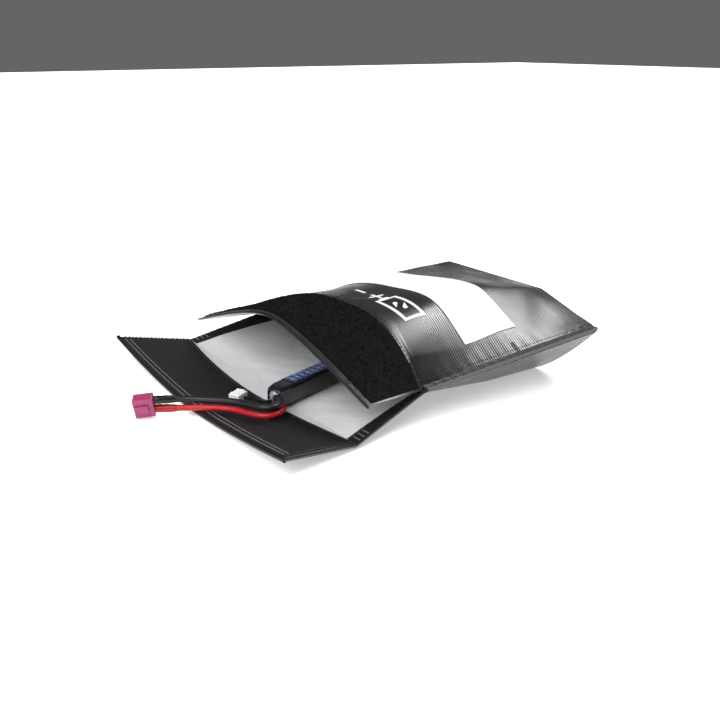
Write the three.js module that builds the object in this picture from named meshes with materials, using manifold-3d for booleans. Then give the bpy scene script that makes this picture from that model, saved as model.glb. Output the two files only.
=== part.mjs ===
// Fire-resistant charging bag for a lithium-polymer pack, standing open with its flap folded out and a
// small stick pack lying in the mouth. Millimetres, +Z up. The flap fold is the line x = 0 while the
// bag is drawn; +X runs into the bag. The finished group is centred over its own footprint.
import * as THREE from 'three';
import Module from 'manifold-3d';
import { mergeVertices } from 'three/addons/utils/BufferGeometryUtils.js';

const wasm = await Module();
wasm.setup();

// ---- driving dimensions ---------------------------------------------------------------------------
const clearance = 0.3;          // air between neighbouring pieces

// cloth layers
const clothThickness = 0.9;     // coated outer fabric
const liningThickness = 0.6;    // woven glass lining
const hookThickness = 1.0;      // hook tape
const loopThickness = 1.7;      // loop tape with its pile
const labelThickness = 0.3;
const threadWidth = 0.8;
const threadHeight = 0.5;

// flap, folded out in front of the mouth
const flapLength = 50;          // fold to free end
const foldHalf = 107.4;         // half width at the fold
const flapHalf = 116;           // half width at the free end
const foldNearRise = 1.2;       // height of the corners at the fold
const foldBackRise = 3.4;
const flapNearRise = 10;        // height of the corners at the free end
const flapBackRise = 12.5;
const hookBow = 9;              // how far the inner edge of the hook tape bows towards the free end
const tapeInset = 1;            // bare cloth outside the tapes
const hookStitchOuter = 2;      // stitch rows, from the edge of the hook tape at the free end
const hookStitchInner = 5;
const hookStitchFold = 2;       // stitch row, from the bowed edge
const bindingWidth = 10;        // edge binding beside the mouth
const flapBindingWidth = 3;
const hemWidth = 2;             // at the flap's free end
const lipHemWidth = 2.5;

// pouch
const lipX = 8;                 // front edge of the upper panel
const lipHalf = 107.1;
const lipNearZ = 24.2;          // height of the corners at the lip
const lipBackZ = 20.3;
const lipMiddleZ = 49.2;
const seamStartX = 55;          // where the side seams begin
const seamStartHalf = 97.6;
const seamStartZ = 18.8;
const seamStartMiddleZ = 53.6;
const crestX = 105;             // highest point of the upper panel
const crestZ = 53.5;
const shoulderRise = 7.5;       // how far the near side stands above the arch
const archNear = 3;             // fullness of the arch on each side of the middle: 2 is round, 4 is boxy
const archBack = 1.7;
const earX = 187;               // pulled-out corner at the closed end of a side seam
const earHalf = 110.8;
const earNearZ = 36.3;
const earBackZ = 25;            // the far corner has sunk lower
const topCreaseX = 197;
const topCreaseHalf = 52.3;         // half length of the crease
const topCreaseZ = 48.3;
const bottomCreaseX = 175;
const bottomCreaseHalf = 69.3;
const bottomMouthHalf = 50;     // half width of the flat base where the side seams begin
const bottomWidenRun = 75;      // distance over which the flat base widens
const endBulge = 2;
const seamWidth = 5;            // flat flange of a side seam
const seamThickness = 2.4;
const loopStart = 2.5;          // pile of the loop tape, behind the front edge of the upper panel
const loopPileLength = 43;
const loopStitchGap = 1.15;     // middle of a stitch row to the pile
const labelStartX = 97;
const labelLength = 42;
const labelHalf = 84;
const stitchInset = 2;          // inner stitch row, from the edge of the upper panel
const tackX = 128;              // bar tack beside each side seam
const tackLength = 4;

// battery pack
const packX = -9.9;             // near corner of the pack's front end
const packY = -42.6;
const packBottomZ = 4.3;
const packTurnDeg = 18.5;
const packLength = 100;
const packWidth = 13;
const packHeight = 12.5;
const packCorner = 2.4;         // outer corner radius of the wrap
const wrapThickness = 0.4;
const wrapTaperLength = 9;
const wrapTaper = 0.2;          // share by which the shrunk ends draw in
const cellLength = 82;
const cellCorner = 1.2;
const boardThickness = 0.8;
const boardShare = 0.8;         // the boards against the space inside the wrap
const sealProud = 1.6;          // how far the sealing bead stands out of the front end
const sealOffset = 1.5;         // the bead sits away from the leads
const stickerStart = 13;
const stickerLength = 74;
const stickerWidth = 10.5;

// leads and plugs
const leadRadius = 1.9;
const sleeveWall = 0.6;
const balanceLeadRadius = 0.9;
const sleeveShare = 0.14;       // share of a lead's length that its sleeve covers
const plugLength = 12;
const plugDepth = 8;
const plugHeight = 12.5;
const plugRollDeg = 13;         // leans over to the near side
const plugPitchDeg = -6;
const plugTurnDeg = -30;
const ribDepth = 1.6;           // key rib on the near face
const bladeThickness = 1;
const bladeWidth = 6;
const bladeReach = 5;
const bladeUpright = 5;
const balancePlugLength = 7.6;
const balancePlugWidth = 9.6;
const balancePlugHeight = 4.6;
const balanceTurnDeg = 118;
const socketPitch = 2.5;        // three pin sockets
const socketWidth = 1.2;
const socketHeight = 1.6;
const socketDepth = 3.5;

// ---- materials --------------------------------------------------------------------------------------
const finish = (color, roughness, metalness = 0) =>
  new THREE.MeshStandardMaterial({ color, roughness, metalness });
const coatedCloth = finish(0x1b1b1d, 0.38);
const glassCloth = finish(0xc9cacc, 0.42, 0.25);
const loopPile = finish(0x0b0b0c, 0.95);
const hookTape = finish(0x17171a, 0.6);
const bindingTape = finish(0x121214, 0.5);
const thread = finish(0x2c2c30, 0.6);
const whiteLabel = finish(0xf4f4f2, 0.55);
const shrinkWrap = finish(0x0c0c10, 0.22);
const blueSticker = finish(0x1c2a5e, 0.3);
const fibreBoard = finish(0x2f4f3a, 0.6);
const pouchFoil = finish(0xb9bcc2, 0.3, 0.8);
const clearSeal = finish(0x9fb2c4, 0.1);
const redSilicone = finish(0xc0141f, 0.4);
const blackSilicone = finish(0x111113, 0.4);
const pinkNylon = finish(0xa8325f, 0.4);
const brass = finish(0xc9a04e, 0.25, 1);
const whiteNylon = finish(0xeeeeea, 0.45);

// ---- shape of the cloth -----------------------------------------------------------------------------
const mix = (a, b, share) => a + (b - a) * share;
const clamp01 = (value) => Math.min(1, Math.max(0, value));
const clamp = (value) => Math.min(1, Math.max(-1, value));

// Half width and edge height of the lower cloth, flap included, at a distance x from the fold.
function lowerHalf(x) {
  if (x < 0) return mix(foldHalf, flapHalf, -x / flapLength);
  if (x < seamStartX) return mix(foldHalf, seamStartHalf, x / seamStartX);
  return mix(seamStartHalf, earHalf, (x - seamStartX) / (earX - seamStartX));
}
const earZ = (across) => (across > 0 ? earBackZ : earNearZ);
const foldRise = (across) => (across > 0 ? foldBackRise : foldNearRise);
const flapRise = (across) => (across > 0 ? flapBackRise : flapNearRise);
function lowerEdgeZ(x, across) {
  if (x < 0) return mix(foldRise(across), flapRise(across), -x / flapLength);
  if (x < seamStartX) return mix(foldRise(across), seamStartZ - seamThickness / 2, x / seamStartX);
  return mix(seamStartZ, earZ(across), (x - seamStartX) / (earX - seamStartX)) - seamThickness / 2;
}
// Underside of the lower cloth: a shallow valley at the flap that turns into a flat base with sloping
// sides further in. across runs from -1 to 1.
function flatHalf(x) {
  return mix(bottomMouthHalf, bottomCreaseHalf, clamp01((x - seamStartX) / bottomWidenRun) ** 0.6);
}
function lowerZ(x, across) {
  const flatShare = flatHalf(x) / lowerHalf(x);
  const side = Math.max(0, (Math.abs(across) - flatShare) / (1 - flatShare)) ** 1.3;
  const valley = Math.abs(across) ** 1.6;
  return lowerEdgeZ(x, across) * mix(valley, side, clamp01(x / seamStartX));
}
// The closed end: distance from the fold of the bottom and the top crease at each place across.
const bottomEndX = (across) =>
  mix(bottomCreaseX, earX, Math.max(0, (Math.abs(across) * earHalf - bottomCreaseHalf) / (earHalf - bottomCreaseHalf)));
const earShare = (across) =>
  Math.max(0, (Math.abs(across) * earHalf - topCreaseHalf) / (earHalf - topCreaseHalf));
const topEndX = (across) => mix(topCreaseX, earX, earShare(across));

// Outer face of the upper panel. along runs from 0 at the lip to 1 at the closed end.
const seamShare = (seamStartX - lipX) / (earX - lipX);
const crestShare = (crestX - lipX) / (topCreaseX - lipX);
// The panel is as wide as the cloth at the open lip, and stops at the flange of each side seam.
const seamStep = 0.012;
const seamRun = 4;              // the flange starts this far behind the end of the open side
function upperHalf(along) {
  const flange = (seamWidth + clearance) * clamp01((along - seamShare + seamStep) / (2 * seamStep));
  if (along < seamShare) return mix(lipHalf, seamStartHalf, along / seamShare) - flange;
  return mix(seamStartHalf, earHalf, (along - seamShare) / (1 - seamShare)) - flange;
}
const lipZ = (across) => (across > 0 ? lipBackZ : lipNearZ);
function upperEdgeZ(along, across) {
  if (along < seamShare) return mix(lipZ(across), seamStartZ + seamThickness / 2, along / seamShare);
  return mix(seamStartZ, earZ(across), (along - seamShare) / (1 - seamShare)) + seamThickness / 2;
}
function upperMiddleZ(along) {
  if (along < seamShare) return mix(lipMiddleZ, seamStartMiddleZ, along / seamShare);
  if (along < crestShare) {
    const rise = Math.sin((along - seamShare) / (crestShare - seamShare) * Math.PI / 2);
    return mix(seamStartMiddleZ, crestZ, rise);
  }
  return mix(crestZ, topCreaseZ, ((along - crestShare) / (1 - crestShare)) ** 2);
}
function upperArch(along, across) {
  const softened = (Math.hypot(across, 0.12) - 0.12) / (Math.hypot(1, 0.12) - 0.12);
  const tent = 1 - softened ** 1.2;
  const arch = 1 - Math.abs(across) ** (across > 0 ? archBack : archNear);
  const hexagon = 1 - earShare(across);
  if (along < seamShare) return mix(tent, arch, along / seamShare);
  return mix(arch, hexagon, ((along - seamShare) / (1 - seamShare)) ** 2);
}
// The near side is pushed up into a shoulder, which starts low beside the lip, moves inwards over the
// pouch and fades towards the closed end.
function shoulder(along, across) {
  const inward = clamp01((along - seamShare) / seamShare);
  const offset = across - mix(-0.72, -0.48, inward);
  const bump = Math.exp(-((offset / (offset > 0 ? 0.4 : 0.25)) ** 2)) - 0.02;
  const strength = clamp01(along / seamShare) * mix(0.65, 1, inward) * clamp01((1 - along) / 0.35);
  return shoulderRise * strength * Math.max(0, bump) * clamp01((1 + across) * 8);
}
function upperPoint(along, across) {
  const x = mix(lipX, topEndX(across), along);
  const z = mix(upperEdgeZ(along, across), upperMiddleZ(along), upperArch(along, across)) + shoulder(along, across);
  return new THREE.Vector3(x, across * upperHalf(along), z);
}
const alongAt = (x) => (x - lipX) / (topCreaseX - lipX);

// Places along and across that every layer shares, so that the facets of neighbours run together.
const acrossSteps = [-1, -0.95, -0.88, -0.78, -0.66, -0.5, -0.33, -0.16, 0, 0.16, 0.33, 0.5, 0.66, 0.78, 0.88, 0.95, 1];
const labelStart = alongAt(labelStartX);
const labelMiddle = alongAt(labelStartX + labelLength / 2);
const labelEnd = alongAt(labelStartX + labelLength);
const pouchSteps = [0, 0.07, 0.15, 0.22, seamShare, 0.31, 0.38, labelStart, labelMiddle, labelEnd, 0.82, 0.92, 1];

// ---- building helpers -------------------------------------------------------------------------------
// A closed piece of cloth: a box with one cell per step, bent so that its lower face lies low and its
// upper face high above (or, with side set, in front of) the points that place(u, v) gives.
function cloth(name, material, us, vs, place, low, high, push = new THREE.Vector3(0, 0, 1)) {
  const geometry = new THREE.BoxGeometry(1, 1, 1, us.length - 1, vs.length - 1, 1);
  const position = geometry.attributes.position;
  for (let i = 0; i < position.count; i++) {
    const u = us[Math.round((position.getX(i) + 0.5) * (us.length - 1))];
    const v = vs[Math.round((position.getY(i) + 0.5) * (vs.length - 1))];
    const point = place(u, v).addScaledVector(push, position.getZ(i) > 0 ? high : low);
    position.setXYZ(i, point.x, point.y, point.z);
  }
  matchDiagonals(geometry);
  return piece(name, material, geometry);
}
// Cuts the cells of a box's lower face along the same diagonal as those of its upper face, so that one
// layer's facets lie flat on the next layer's.
function matchDiagonals(geometry) {
  const lowerFace = geometry.groups[5];
  const corners = geometry.index.array;
  for (let i = lowerFace.start; i < lowerFace.start + lowerFace.count; i += 6) {
    const [a, b, d, , c] = corners.slice(i, i + 6);
    corners.set([a, b, c, a, c, d], i);
  }
}
function piece(name, material, geometry) {
  const bare = geometry.clone();
  bare.deleteAttribute('normal');
  bare.deleteAttribute('uv');
  const merged = mergeVertices(bare, 1e-4);
  merged.computeVertexNormals();
  const mesh = new THREE.Mesh(merged, material);
  mesh.name = name;
  return mesh;
}
const span = (from, to, count) => Array.from({ length: count + 1 }, (_, i) => mix(from, to, i / count));
// A place on the lower cloth, or on the flap, kept inset from its side edge.
function onLower(x, across, inset) {
  const half = lowerHalf(x);
  const y = across * (half - inset);
  return new THREE.Vector3(x, y, lowerZ(x, y / half));
}
function onUpper(along, across, inset) {
  return upperPoint(along, across * (1 - inset / upperHalf(along)));
}
function extruded(shape, depth, steps = 1) {
  return new THREE.ExtrudeGeometry(shape, { depth, steps, bevelEnabled: false, curveSegments: 4 });
}
function roundedOutline(width, height, radius, Outline = THREE.Shape) {
  const outline = new Outline();
  outline.moveTo(-width / 2 + radius, -height / 2);
  outline.lineTo(width / 2 - radius, -height / 2);
  outline.quadraticCurveTo(width / 2, -height / 2, width / 2, -height / 2 + radius);
  outline.lineTo(width / 2, height / 2 - radius);
  outline.quadraticCurveTo(width / 2, height / 2, width / 2 - radius, height / 2);
  outline.lineTo(-width / 2 + radius, height / 2);
  outline.quadraticCurveTo(-width / 2, height / 2, -width / 2, height / 2 - radius);
  outline.lineTo(-width / 2, -height / 2 + radius);
  outline.quadraticCurveTo(-width / 2, -height / 2, -width / 2 + radius, -height / 2);
  return outline;
}

// ---- pouch ------------------------------------------------------------------------------------------
const bag = new THREE.Group();
const layer = clothThickness + clearance;
const liningTop = layer + liningThickness;
const hookTop = liningTop + clearance + hookThickness;

const lowerX = (u, across, inset) => mix(clearance / 2, bottomEndX(across) - inset, u);
const bindingEnd = seamStartX + 1;
const bindingStep = (bindingEnd + 2.5) / bottomEndX(seamStartHalf / earHalf);
const lowerEdgeInset = (u) => clearance + (u <= bindingStep ? bindingWidth : seamWidth + 1);
const lowerSteps = [0, 0.08, 0.15, 0.22, 0.27, bindingStep, bindingStep + 0.02, 0.42, 0.53, 0.64, 0.76, 0.88, 1];
function onBase(u, v, endInset) {
  const edgeInset = lowerEdgeInset(u);
  const y = v * (lowerHalf(lowerX(u, v, endInset)) - edgeInset);
  return onLower(lowerX(u, y / earHalf, endInset), v, edgeInset);
}
bag.add(cloth('lower_panel', coatedCloth, lowerSteps, acrossSteps,
  (u, v) => onBase(u, v, layer), 0, clothThickness));
bag.add(cloth('liner_lower', glassCloth, lowerSteps, acrossSteps,
  (u, v) => onBase(u, v, liningTop + 2 * clearance), layer, liningTop));

const upperSteps = pouchSteps.flatMap((s) => (s === seamShare ? [s - seamStep, s + seamStep] : [s]));
const upperAlong = (u, v, inset) => u * (1 - inset / (topEndX(v) - lipX));
bag.add(cloth('upper_panel', coatedCloth, upperSteps, acrossSteps,
  (u, v) => upperPoint(upperAlong(u, v, layer), v), -clothThickness, 0));
bag.add(cloth('liner_upper', glassCloth, upperSteps, acrossSteps.slice(1, -1),
  (u, v) => upperPoint(upperAlong(u, v, liningTop + 2 * clearance), v),
  -liningTop - clearance, -layer - clearance));

// The closed end stands between the bottom crease and the top crease.
function endPoint(v, across) {
  const low = lowerZ(bottomEndX(across), across);
  const high = upperPoint(1, clamp(across * earHalf / upperHalf(1))).z;
  const x = mix(bottomEndX(across), topEndX(across), v) + endBulge * 4 * v * (1 - v);
  return new THREE.Vector3(x, across * earHalf, mix(low, high, v));
}
const backwards = new THREE.Vector3(1, 0, 0);
const endAcross = acrossSteps.map((v) => v * (1 - (seamWidth + clearance) / earHalf));
bag.add(cloth('end_panel', coatedCloth, endAcross, [0, 0.25, 0.5, 0.75, 1],
  (across, v) => endPoint(v, across), -clothThickness, 0, backwards));
bag.add(cloth('liner_end', glassCloth, endAcross.map((v) => v * 0.86), [0.12, 0.35, 0.6, 0.88],
  (across, v) => endPoint(v, across), -liningTop - 2 * clearance, -layer - 2 * clearance, backwards));

// Side seams: a flat flange with a row of stitches on it and a second row on the upper panel.
const seamSteps = span(seamStartX + seamRun, earX, 8);
function onSeam(x, outward, side) {
  const share = (x - seamStartX) / (earX - seamStartX);
  const z = mix(seamStartZ, earZ(side), share);
  return new THREE.Vector3(x, side * (lowerHalf(x) - seamWidth + outward), z);
}
function ribbon(name, steps, place, low) {
  return cloth(name, thread, steps, [-threadWidth / 2, threadWidth / 2], place, low, low + threadHeight);
}
for (const [label, side] of [['near', -1], ['back', 1]]) {
  const outwardSteps = side > 0 ? [0, seamWidth] : [seamWidth, 0];
  bag.add(cloth(`seam_${label}`, bindingTape, seamSteps, outwardSteps,
    (x, outward) => onSeam(x, outward, side), -seamThickness / 2, seamThickness / 2));
  bag.add(ribbon(`seam_stitch_outer_${label}`, seamSteps.slice(0, -1),
    (x, w) => onSeam(x, seamWidth / 2 + side * w, side), seamThickness / 2 + clearance));
  bag.add(ribbon(`seam_stitch_inner_${label}`, pouchSteps.filter((s) => s > seamShare + seamStep && s < 1),
    (u, w) => {
      const across = side * (1 - stitchInset / upperHalf(u));
      return upperPoint(u, across + w / upperHalf(u)).setX(upperPoint(u, across).x);
    }, clearance));
  const bindingInsets = side > 0 ? [bindingWidth - clearance, 0] : [0, bindingWidth - clearance];
  bag.add(cloth(`binding_${label}`, bindingTape, span(clearance, bindingEnd, 4), bindingInsets,
    (x, inset) => onLower(x, side, inset), 0, liningTop));
  const tackInsets = side > 0 ? span(tackLength, 0, 2) : span(0, tackLength, 2);
  bag.add(cloth(`bar_tack_${label}`, thread, [alongAt(tackX - threadWidth), alongAt(tackX + threadWidth)], tackInsets,
    (u, inset) => upperPoint(u, side * (1 - (2 * stitchInset + inset) / upperHalf(u))),
    clearance, clearance + threadHeight));
}

// Lip: the folded hem, the loop tape behind it and its two rows of stitches.
const alongFromLip = (distance) => distance / (topCreaseX - lipX);
bag.add(cloth('lip_hem', bindingTape, [-lipHemWidth - clearance, -clearance], acrossSteps,
  (offset, v) => upperPoint(0, v).add(new THREE.Vector3(offset, 0, 0)), -liningTop, clearance));
const loopEnd = loopStart + loopPileLength;
const loopSteps = [alongFromLip(loopStart), 0.07, 0.15, 0.22, alongFromLip(loopEnd)];
bag.add(cloth('loop_band', loopPile, loopSteps, acrossSteps,
  (u, v) => onUpper(u, v, tapeInset), clearance, clearance + loopThickness));
for (const [label, distance] of [['front', loopStart - loopStitchGap], ['rear', loopEnd + loopStitchGap]]) {
  bag.add(cloth(`loop_stitch_${label}`, thread,
    [alongFromLip(distance - threadWidth / 2), alongFromLip(distance + threadWidth / 2)], acrossSteps,
    (u, v) => onUpper(u, v, 2 * tapeInset), clearance, clearance + threadHeight));
}
const labelShare = labelHalf / upperHalf(labelMiddle);
const labelAcross = [-labelShare, ...acrossSteps.filter((v) => Math.abs(v) < labelShare - 0.02), labelShare];
bag.add(cloth('label_patch', whiteLabel, [labelStart, labelMiddle, labelEnd], labelAcross,
  (u, v) => upperPoint(u, v), clearance, clearance + labelThickness));

// ---- flap -------------------------------------------------------------------------------------------
const flap = new THREE.Group();
const flapSteps = [-flapLength, -0.66 * flapLength, -0.33 * flapLength, -clearance / 2];
const flapInset = flapBindingWidth + clearance;
flap.add(cloth('flap_panel', coatedCloth, flapSteps, acrossSteps,
  (x, v) => onLower(x, v, flapInset), 0, clothThickness));
flap.add(cloth('flap_liner', glassCloth, flapSteps, acrossSteps,
  (x, v) => onLower(x, v, flapInset), layer, liningTop));
const hookEdge = (v) => -tapeInset - hookBow * (1 - v * v);
const hookPlace = (share, v) => onLower(mix(-flapLength, hookEdge(v), share), v, flapInset);
flap.add(cloth('hook_band', hookTape, [0, 0.34, 0.67, 1], acrossSteps,
  hookPlace, liningTop + clearance, hookTop));
function hookStitch(name, share, away) {
  const place = (w, v) => onLower(mix(-flapLength, hookEdge(v), share) + away + w, v, flapInset + tapeInset);
  return cloth(name, thread, [-threadWidth / 2, threadWidth / 2], acrossSteps, place,
    hookTop + clearance, hookTop + clearance + threadHeight);
}
flap.add(hookStitch('hook_stitch_outer', 0, hookStitchOuter));
flap.add(hookStitch('hook_stitch_inner', 0, hookStitchInner));
flap.add(hookStitch('hook_stitch_fold', 1, -hookStitchFold));
flap.add(cloth('flap_end_hem', bindingTape, [-flapLength - clearance - hemWidth, -flapLength - clearance], acrossSteps,
  (x, v) => onLower(x, v, 0), 0, hookTop));
for (const [label, side] of [['near', -1], ['back', 1]]) {
  const insets = side > 0 ? [flapBindingWidth, 0] : [0, flapBindingWidth];
  flap.add(cloth(`flap_binding_${label}`, bindingTape, flapSteps, insets,
    (x, inset) => onLower(x, side, inset), 0, hookTop));
}

// ---- battery pack -----------------------------------------------------------------------------------
// Drawn along its own +X from its front end, standing on z = 0, then turned and set in the mouth.
const pack = new THREE.Group();
const packPose = new THREE.Group();
packPose.position.set(packX, packY, packBottomZ);
packPose.rotation.z = THREE.MathUtils.degToRad(packTurnDeg);

// Turns a shape drawn across the pack, extruded along its depth, to lie along +X.
function alongPack(geometry, start, height) {
  geometry.rotateX(Math.PI / 2);
  geometry.rotateZ(Math.PI / 2);
  return geometry.translate(start, packWidth / 2, height);
}
const middleZ = packHeight / 2;
const wrapShape = roundedOutline(packWidth, packHeight, packCorner);
wrapShape.holes.push(roundedOutline(
  packWidth - 2 * wrapThickness, packHeight - 2 * wrapThickness, packCorner - wrapThickness, THREE.Path));
const wrapGeometry = alongPack(extruded(wrapShape, packLength, 22), 0, middleZ);
const wrapPosition = wrapGeometry.attributes.position;
for (let i = 0; i < wrapPosition.count; i++) {
  const x = wrapPosition.getX(i);
  const fromEnd = Math.min(x, packLength - x);
  const draw = 1 - wrapTaper * (1 - clamp01(fromEnd / wrapTaperLength)) ** 2;
  const y = packWidth / 2 + (wrapPosition.getY(i) - packWidth / 2) * draw;
  wrapPosition.setXYZ(i, x, y, middleZ + (wrapPosition.getZ(i) - middleZ) * draw);
}
packPose.add(piece('pack_wrap', shrinkWrap, wrapGeometry));

const innerWidth = packWidth - 2 * (wrapThickness + clearance);
const innerHeight = packHeight - 2 * (wrapThickness + clearance);
const cellHeight = (innerHeight - clearance) / 2;
const cellStart = (packLength - cellLength) / 2;
for (const [label, rise] of [['lower', -1], ['upper', 1]]) {
  const z = middleZ + rise * (cellHeight + clearance) / 2;
  const outline = roundedOutline(innerWidth, cellHeight, cellCorner);
  packPose.add(piece(`cell_${label}`, pouchFoil, alongPack(extruded(outline, cellLength), cellStart, z)));
}
const boardShape = roundedOutline(innerWidth * boardShare, innerHeight * boardShare, cellCorner);
for (const [label, start] of [
  ['front_board', cellStart - clearance - boardThickness],
  ['rear_board', cellStart + cellLength + clearance],
]) {
  packPose.add(piece(label, fibreBoard, alongPack(extruded(boardShape, boardThickness), start, middleZ)));
}
// Clear sealing bead that closes the front end around the leads.
const sealLength = cellStart - 2 * clearance - boardThickness;
const sealProfile = new THREE.QuadraticBezierCurve(
  new THREE.Vector2(0, 0), new THREE.Vector2(1, 0), new THREE.Vector2(1, 1));
const sealPoints = [...sealProfile.getPoints(5), new THREE.Vector2(0, 1)];
const sealGeometry = new THREE.LatheGeometry(sealPoints, 14);
const sealHalf = (packHeight / 2 - wrapThickness) * (1 - wrapTaper) - clearance;
sealGeometry.rotateZ(-Math.PI / 2);
sealGeometry.scale(sealLength + sealProud, sealHalf, sealHalf);
sealGeometry.translate(-sealProud, packWidth - wrapThickness - sealHalf - sealOffset, middleZ);
packPose.add(piece('end_seal', clearSeal, sealGeometry));

const sticker = roundedOutline(stickerLength, stickerWidth, cellCorner);
const stickerGeometry = extruded(sticker, labelThickness);
stickerGeometry.translate(stickerStart + stickerLength / 2, packWidth / 2, packHeight + clearance);
packPose.add(piece('pack_sticker', blueSticker, stickerGeometry));
pack.add(packPose);

// ---- leads and plugs --------------------------------------------------------------------------------
// Centre lines of the leads, from the pack's front end to the plug, hand laid on the flap.
const redRoute = [
  [-13, -41.3, 8.2], [-12, -46.2, 8.2], [-14.2, -51.4, 8.1], [-19.2, -54.6, 8], [-24.6, -55.2, 8],
  [-29, -52.2, 7.9], [-32.6, -44.9, 7.6], [-36.7, -33.9, 7.1], [-42.4, -25.6, 6.7], [-46.9, -21, 6.5],
  [-51.2, -16.8, 6.3], [-56, -12.6, 5.9], [-60.8, -8.9, 5.6], [-66.2, -5, 5.4], [-72, -1.1, 5.4],
];
const blackRoute = [
  [-13.8, -41.3, 12], [-13, -45, 12.3], [-14.8, -49.4, 12.5], [-18.8, -53.6, 12.5], [-23.9, -54.4, 12.6],
  [-28.1, -50.6, 12.5], [-30.3, -43.4, 12], [-33.5, -34.5, 11.3], [-38.1, -26.6, 10.8], [-43.9, -19.9, 10.4],
  [-49.7, -14.1, 10.2], [-56.6, -9, 10.3], [-63.9, -5.4, 10.8], [-69, -3.9, 11.2], [-73.4, -1.9, 11.4],
];
const balanceRoute = [
  [-14.1, -34.5, 7.6], [-16.4, -33.6, 8], [-18.3, -30.6, 8.2], [-19, -27, 7.8], [-20, -22.8, 7], [-21.6, -18.4, 6.4],
];
const vectors = (points) => points.map(([x, y, z]) => new THREE.Vector3(x, y, z));

// A round lead of one radius along a smooth curve through the route, between two shares of its length.
function leadBody(route, radius, from, to, steps) {
  const curve = new THREE.CatmullRomCurve3(vectors(route), false, 'centripetal');
  const stretch = new THREE.CatmullRomCurve3(span(from, to, steps).map((s) => curve.getPointAt(s)), false, 'centripetal');
  const section = new THREE.Shape();
  for (let i = 0; i < 8; i++) {
    const angle = (i + 0.5) * Math.PI / 4;
    const point = [radius * Math.cos(angle), radius * Math.sin(angle)];
    if (i === 0) section.moveTo(...point);
    else section.lineTo(...point);
  }
  section.closePath();
  return new THREE.ExtrudeGeometry(section, { steps, extrudePath: stretch, bevelEnabled: false });
}
const cutShare = 0.004;         // air at the end of a lead, as a share of its length
for (const [label, route, material] of [['red', redRoute, redSilicone], ['black', blackRoute, blackSilicone]]) {
  pack.add(piece(`${label}_lead`, material, leadBody(route, leadRadius, 0, 1 - sleeveShare - cutShare, 34)));
  pack.add(piece(`${label}_sleeve`, material,
    leadBody(route, leadRadius + sleeveWall, 1 - sleeveShare, 1 - cutShare, 6)));
}
pack.add(piece('balance_lead', blackSilicone, leadBody(balanceRoute, balanceLeadRadius, 0, 1 - 5 * cutShare, 12)));

// Two-blade power plug: an upright block with a raised key rib, and its blades set at right angles.
const plugPose = new THREE.Group();
plugPose.position.set(-73.2, -1.2, 8.35);
plugPose.rotation.set(...[plugRollDeg, plugPitchDeg, plugTurnDeg].map(THREE.MathUtils.degToRad), 'ZYX');
const solidOf = (geometry) => {
  const bare = geometry.clone();
  bare.deleteAttribute('normal');
  bare.deleteAttribute('uv');
  const merged = mergeVertices(bare, 1e-4);
  return new wasm.Manifold(new wasm.Mesh({
    numProp: 3,
    vertProperties: new Float32Array(merged.attributes.position.array),
    triVerts: new Uint32Array(merged.index.array),
  }));
};
const geometryOf = (solid) => {
  const mesh = solid.getMesh();
  const geometry = new THREE.BufferGeometry();
  geometry.setAttribute('position', new THREE.BufferAttribute(new Float32Array(mesh.vertProperties), 3));
  geometry.setIndex(new THREE.BufferAttribute(new Uint32Array(mesh.triVerts), 1));
  return geometry;
};
const block = (length, depth, height, x, y, z) =>
  solidOf(new THREE.BoxGeometry(length, depth, height).translate(x, y, z));
const bladeSlot = bladeThickness + 2 * clearance;
const housing = block(plugLength, plugDepth, plugHeight, -plugLength / 2, 0, 0)
  .add(block(plugLength * 0.7, ribDepth * 2, plugHeight * 0.4, -plugLength * 0.6, -plugDepth / 2, 0))
  .subtract(block(bladeReach * 2, bladeWidth + 2 * clearance, bladeSlot, -plugLength, 0, plugHeight / 4))
  .subtract(block(bladeReach * 2, bladeSlot, bladeUpright + 2 * clearance, -plugLength, 0, -plugHeight / 5));
plugPose.add(piece('plug_housing', pinkNylon, geometryOf(housing)));
const bladeBack = -plugLength + bladeReach - clearance;
const flatBlade = new THREE.BoxGeometry(bladeReach, bladeWidth, bladeThickness)
  .translate(bladeBack - bladeReach / 2, 0, plugHeight / 4);
const uprightBlade = new THREE.BoxGeometry(bladeReach, bladeThickness, bladeUpright)
  .translate(bladeBack - bladeReach / 2, 0, -plugHeight / 5);
plugPose.add(piece('blade_flat', brass, flatBlade));
plugPose.add(piece('blade_upright', brass, uprightBlade));
pack.add(plugPose);

// Small white balance plug with its guide ribs and three pin sockets.
const balancePose = new THREE.Group();
balancePose.position.set(-22.2, -17.2, 6.4);
balancePose.rotation.z = THREE.MathUtils.degToRad(balanceTurnDeg);
const balanceMiddle = clearance + balancePlugLength / 2;
let ribbed = block(balancePlugLength, balancePlugWidth, balancePlugHeight, balanceMiddle, 0, 0);
for (const side of [-1, 1]) {
  const ribHeight = 0.6;
  ribbed = ribbed.add(block(0.8 * balancePlugLength, 1, 2 * ribHeight,
    balanceMiddle, side * balancePlugWidth / 3, balancePlugHeight / 2));
}
for (const socket of [-1, 0, 1]) {
  ribbed = ribbed.subtract(block(2 * socketDepth, socketWidth, socketHeight,
    clearance + balancePlugLength, socket * socketPitch, 0));
}
balancePose.add(piece('balance_plug', whiteNylon, geometryOf(ribbed)));
pack.add(balancePose);

// ---- whole object -----------------------------------------------------------------------------------
// Origin under the middle of the bag, with the leads and plugs left out of the measure.
const whole = new THREE.Group();
whole.add(bag, flap, pack);
const footprint = new THREE.Box3().setFromObject(bag).union(new THREE.Box3().setFromObject(flap));
const centre = footprint.getCenter(new THREE.Vector3());
whole.position.set(-centre.x, -centre.y, -footprint.min.z);
const group = new THREE.Group();
group.add(whole);

export default group;
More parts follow.
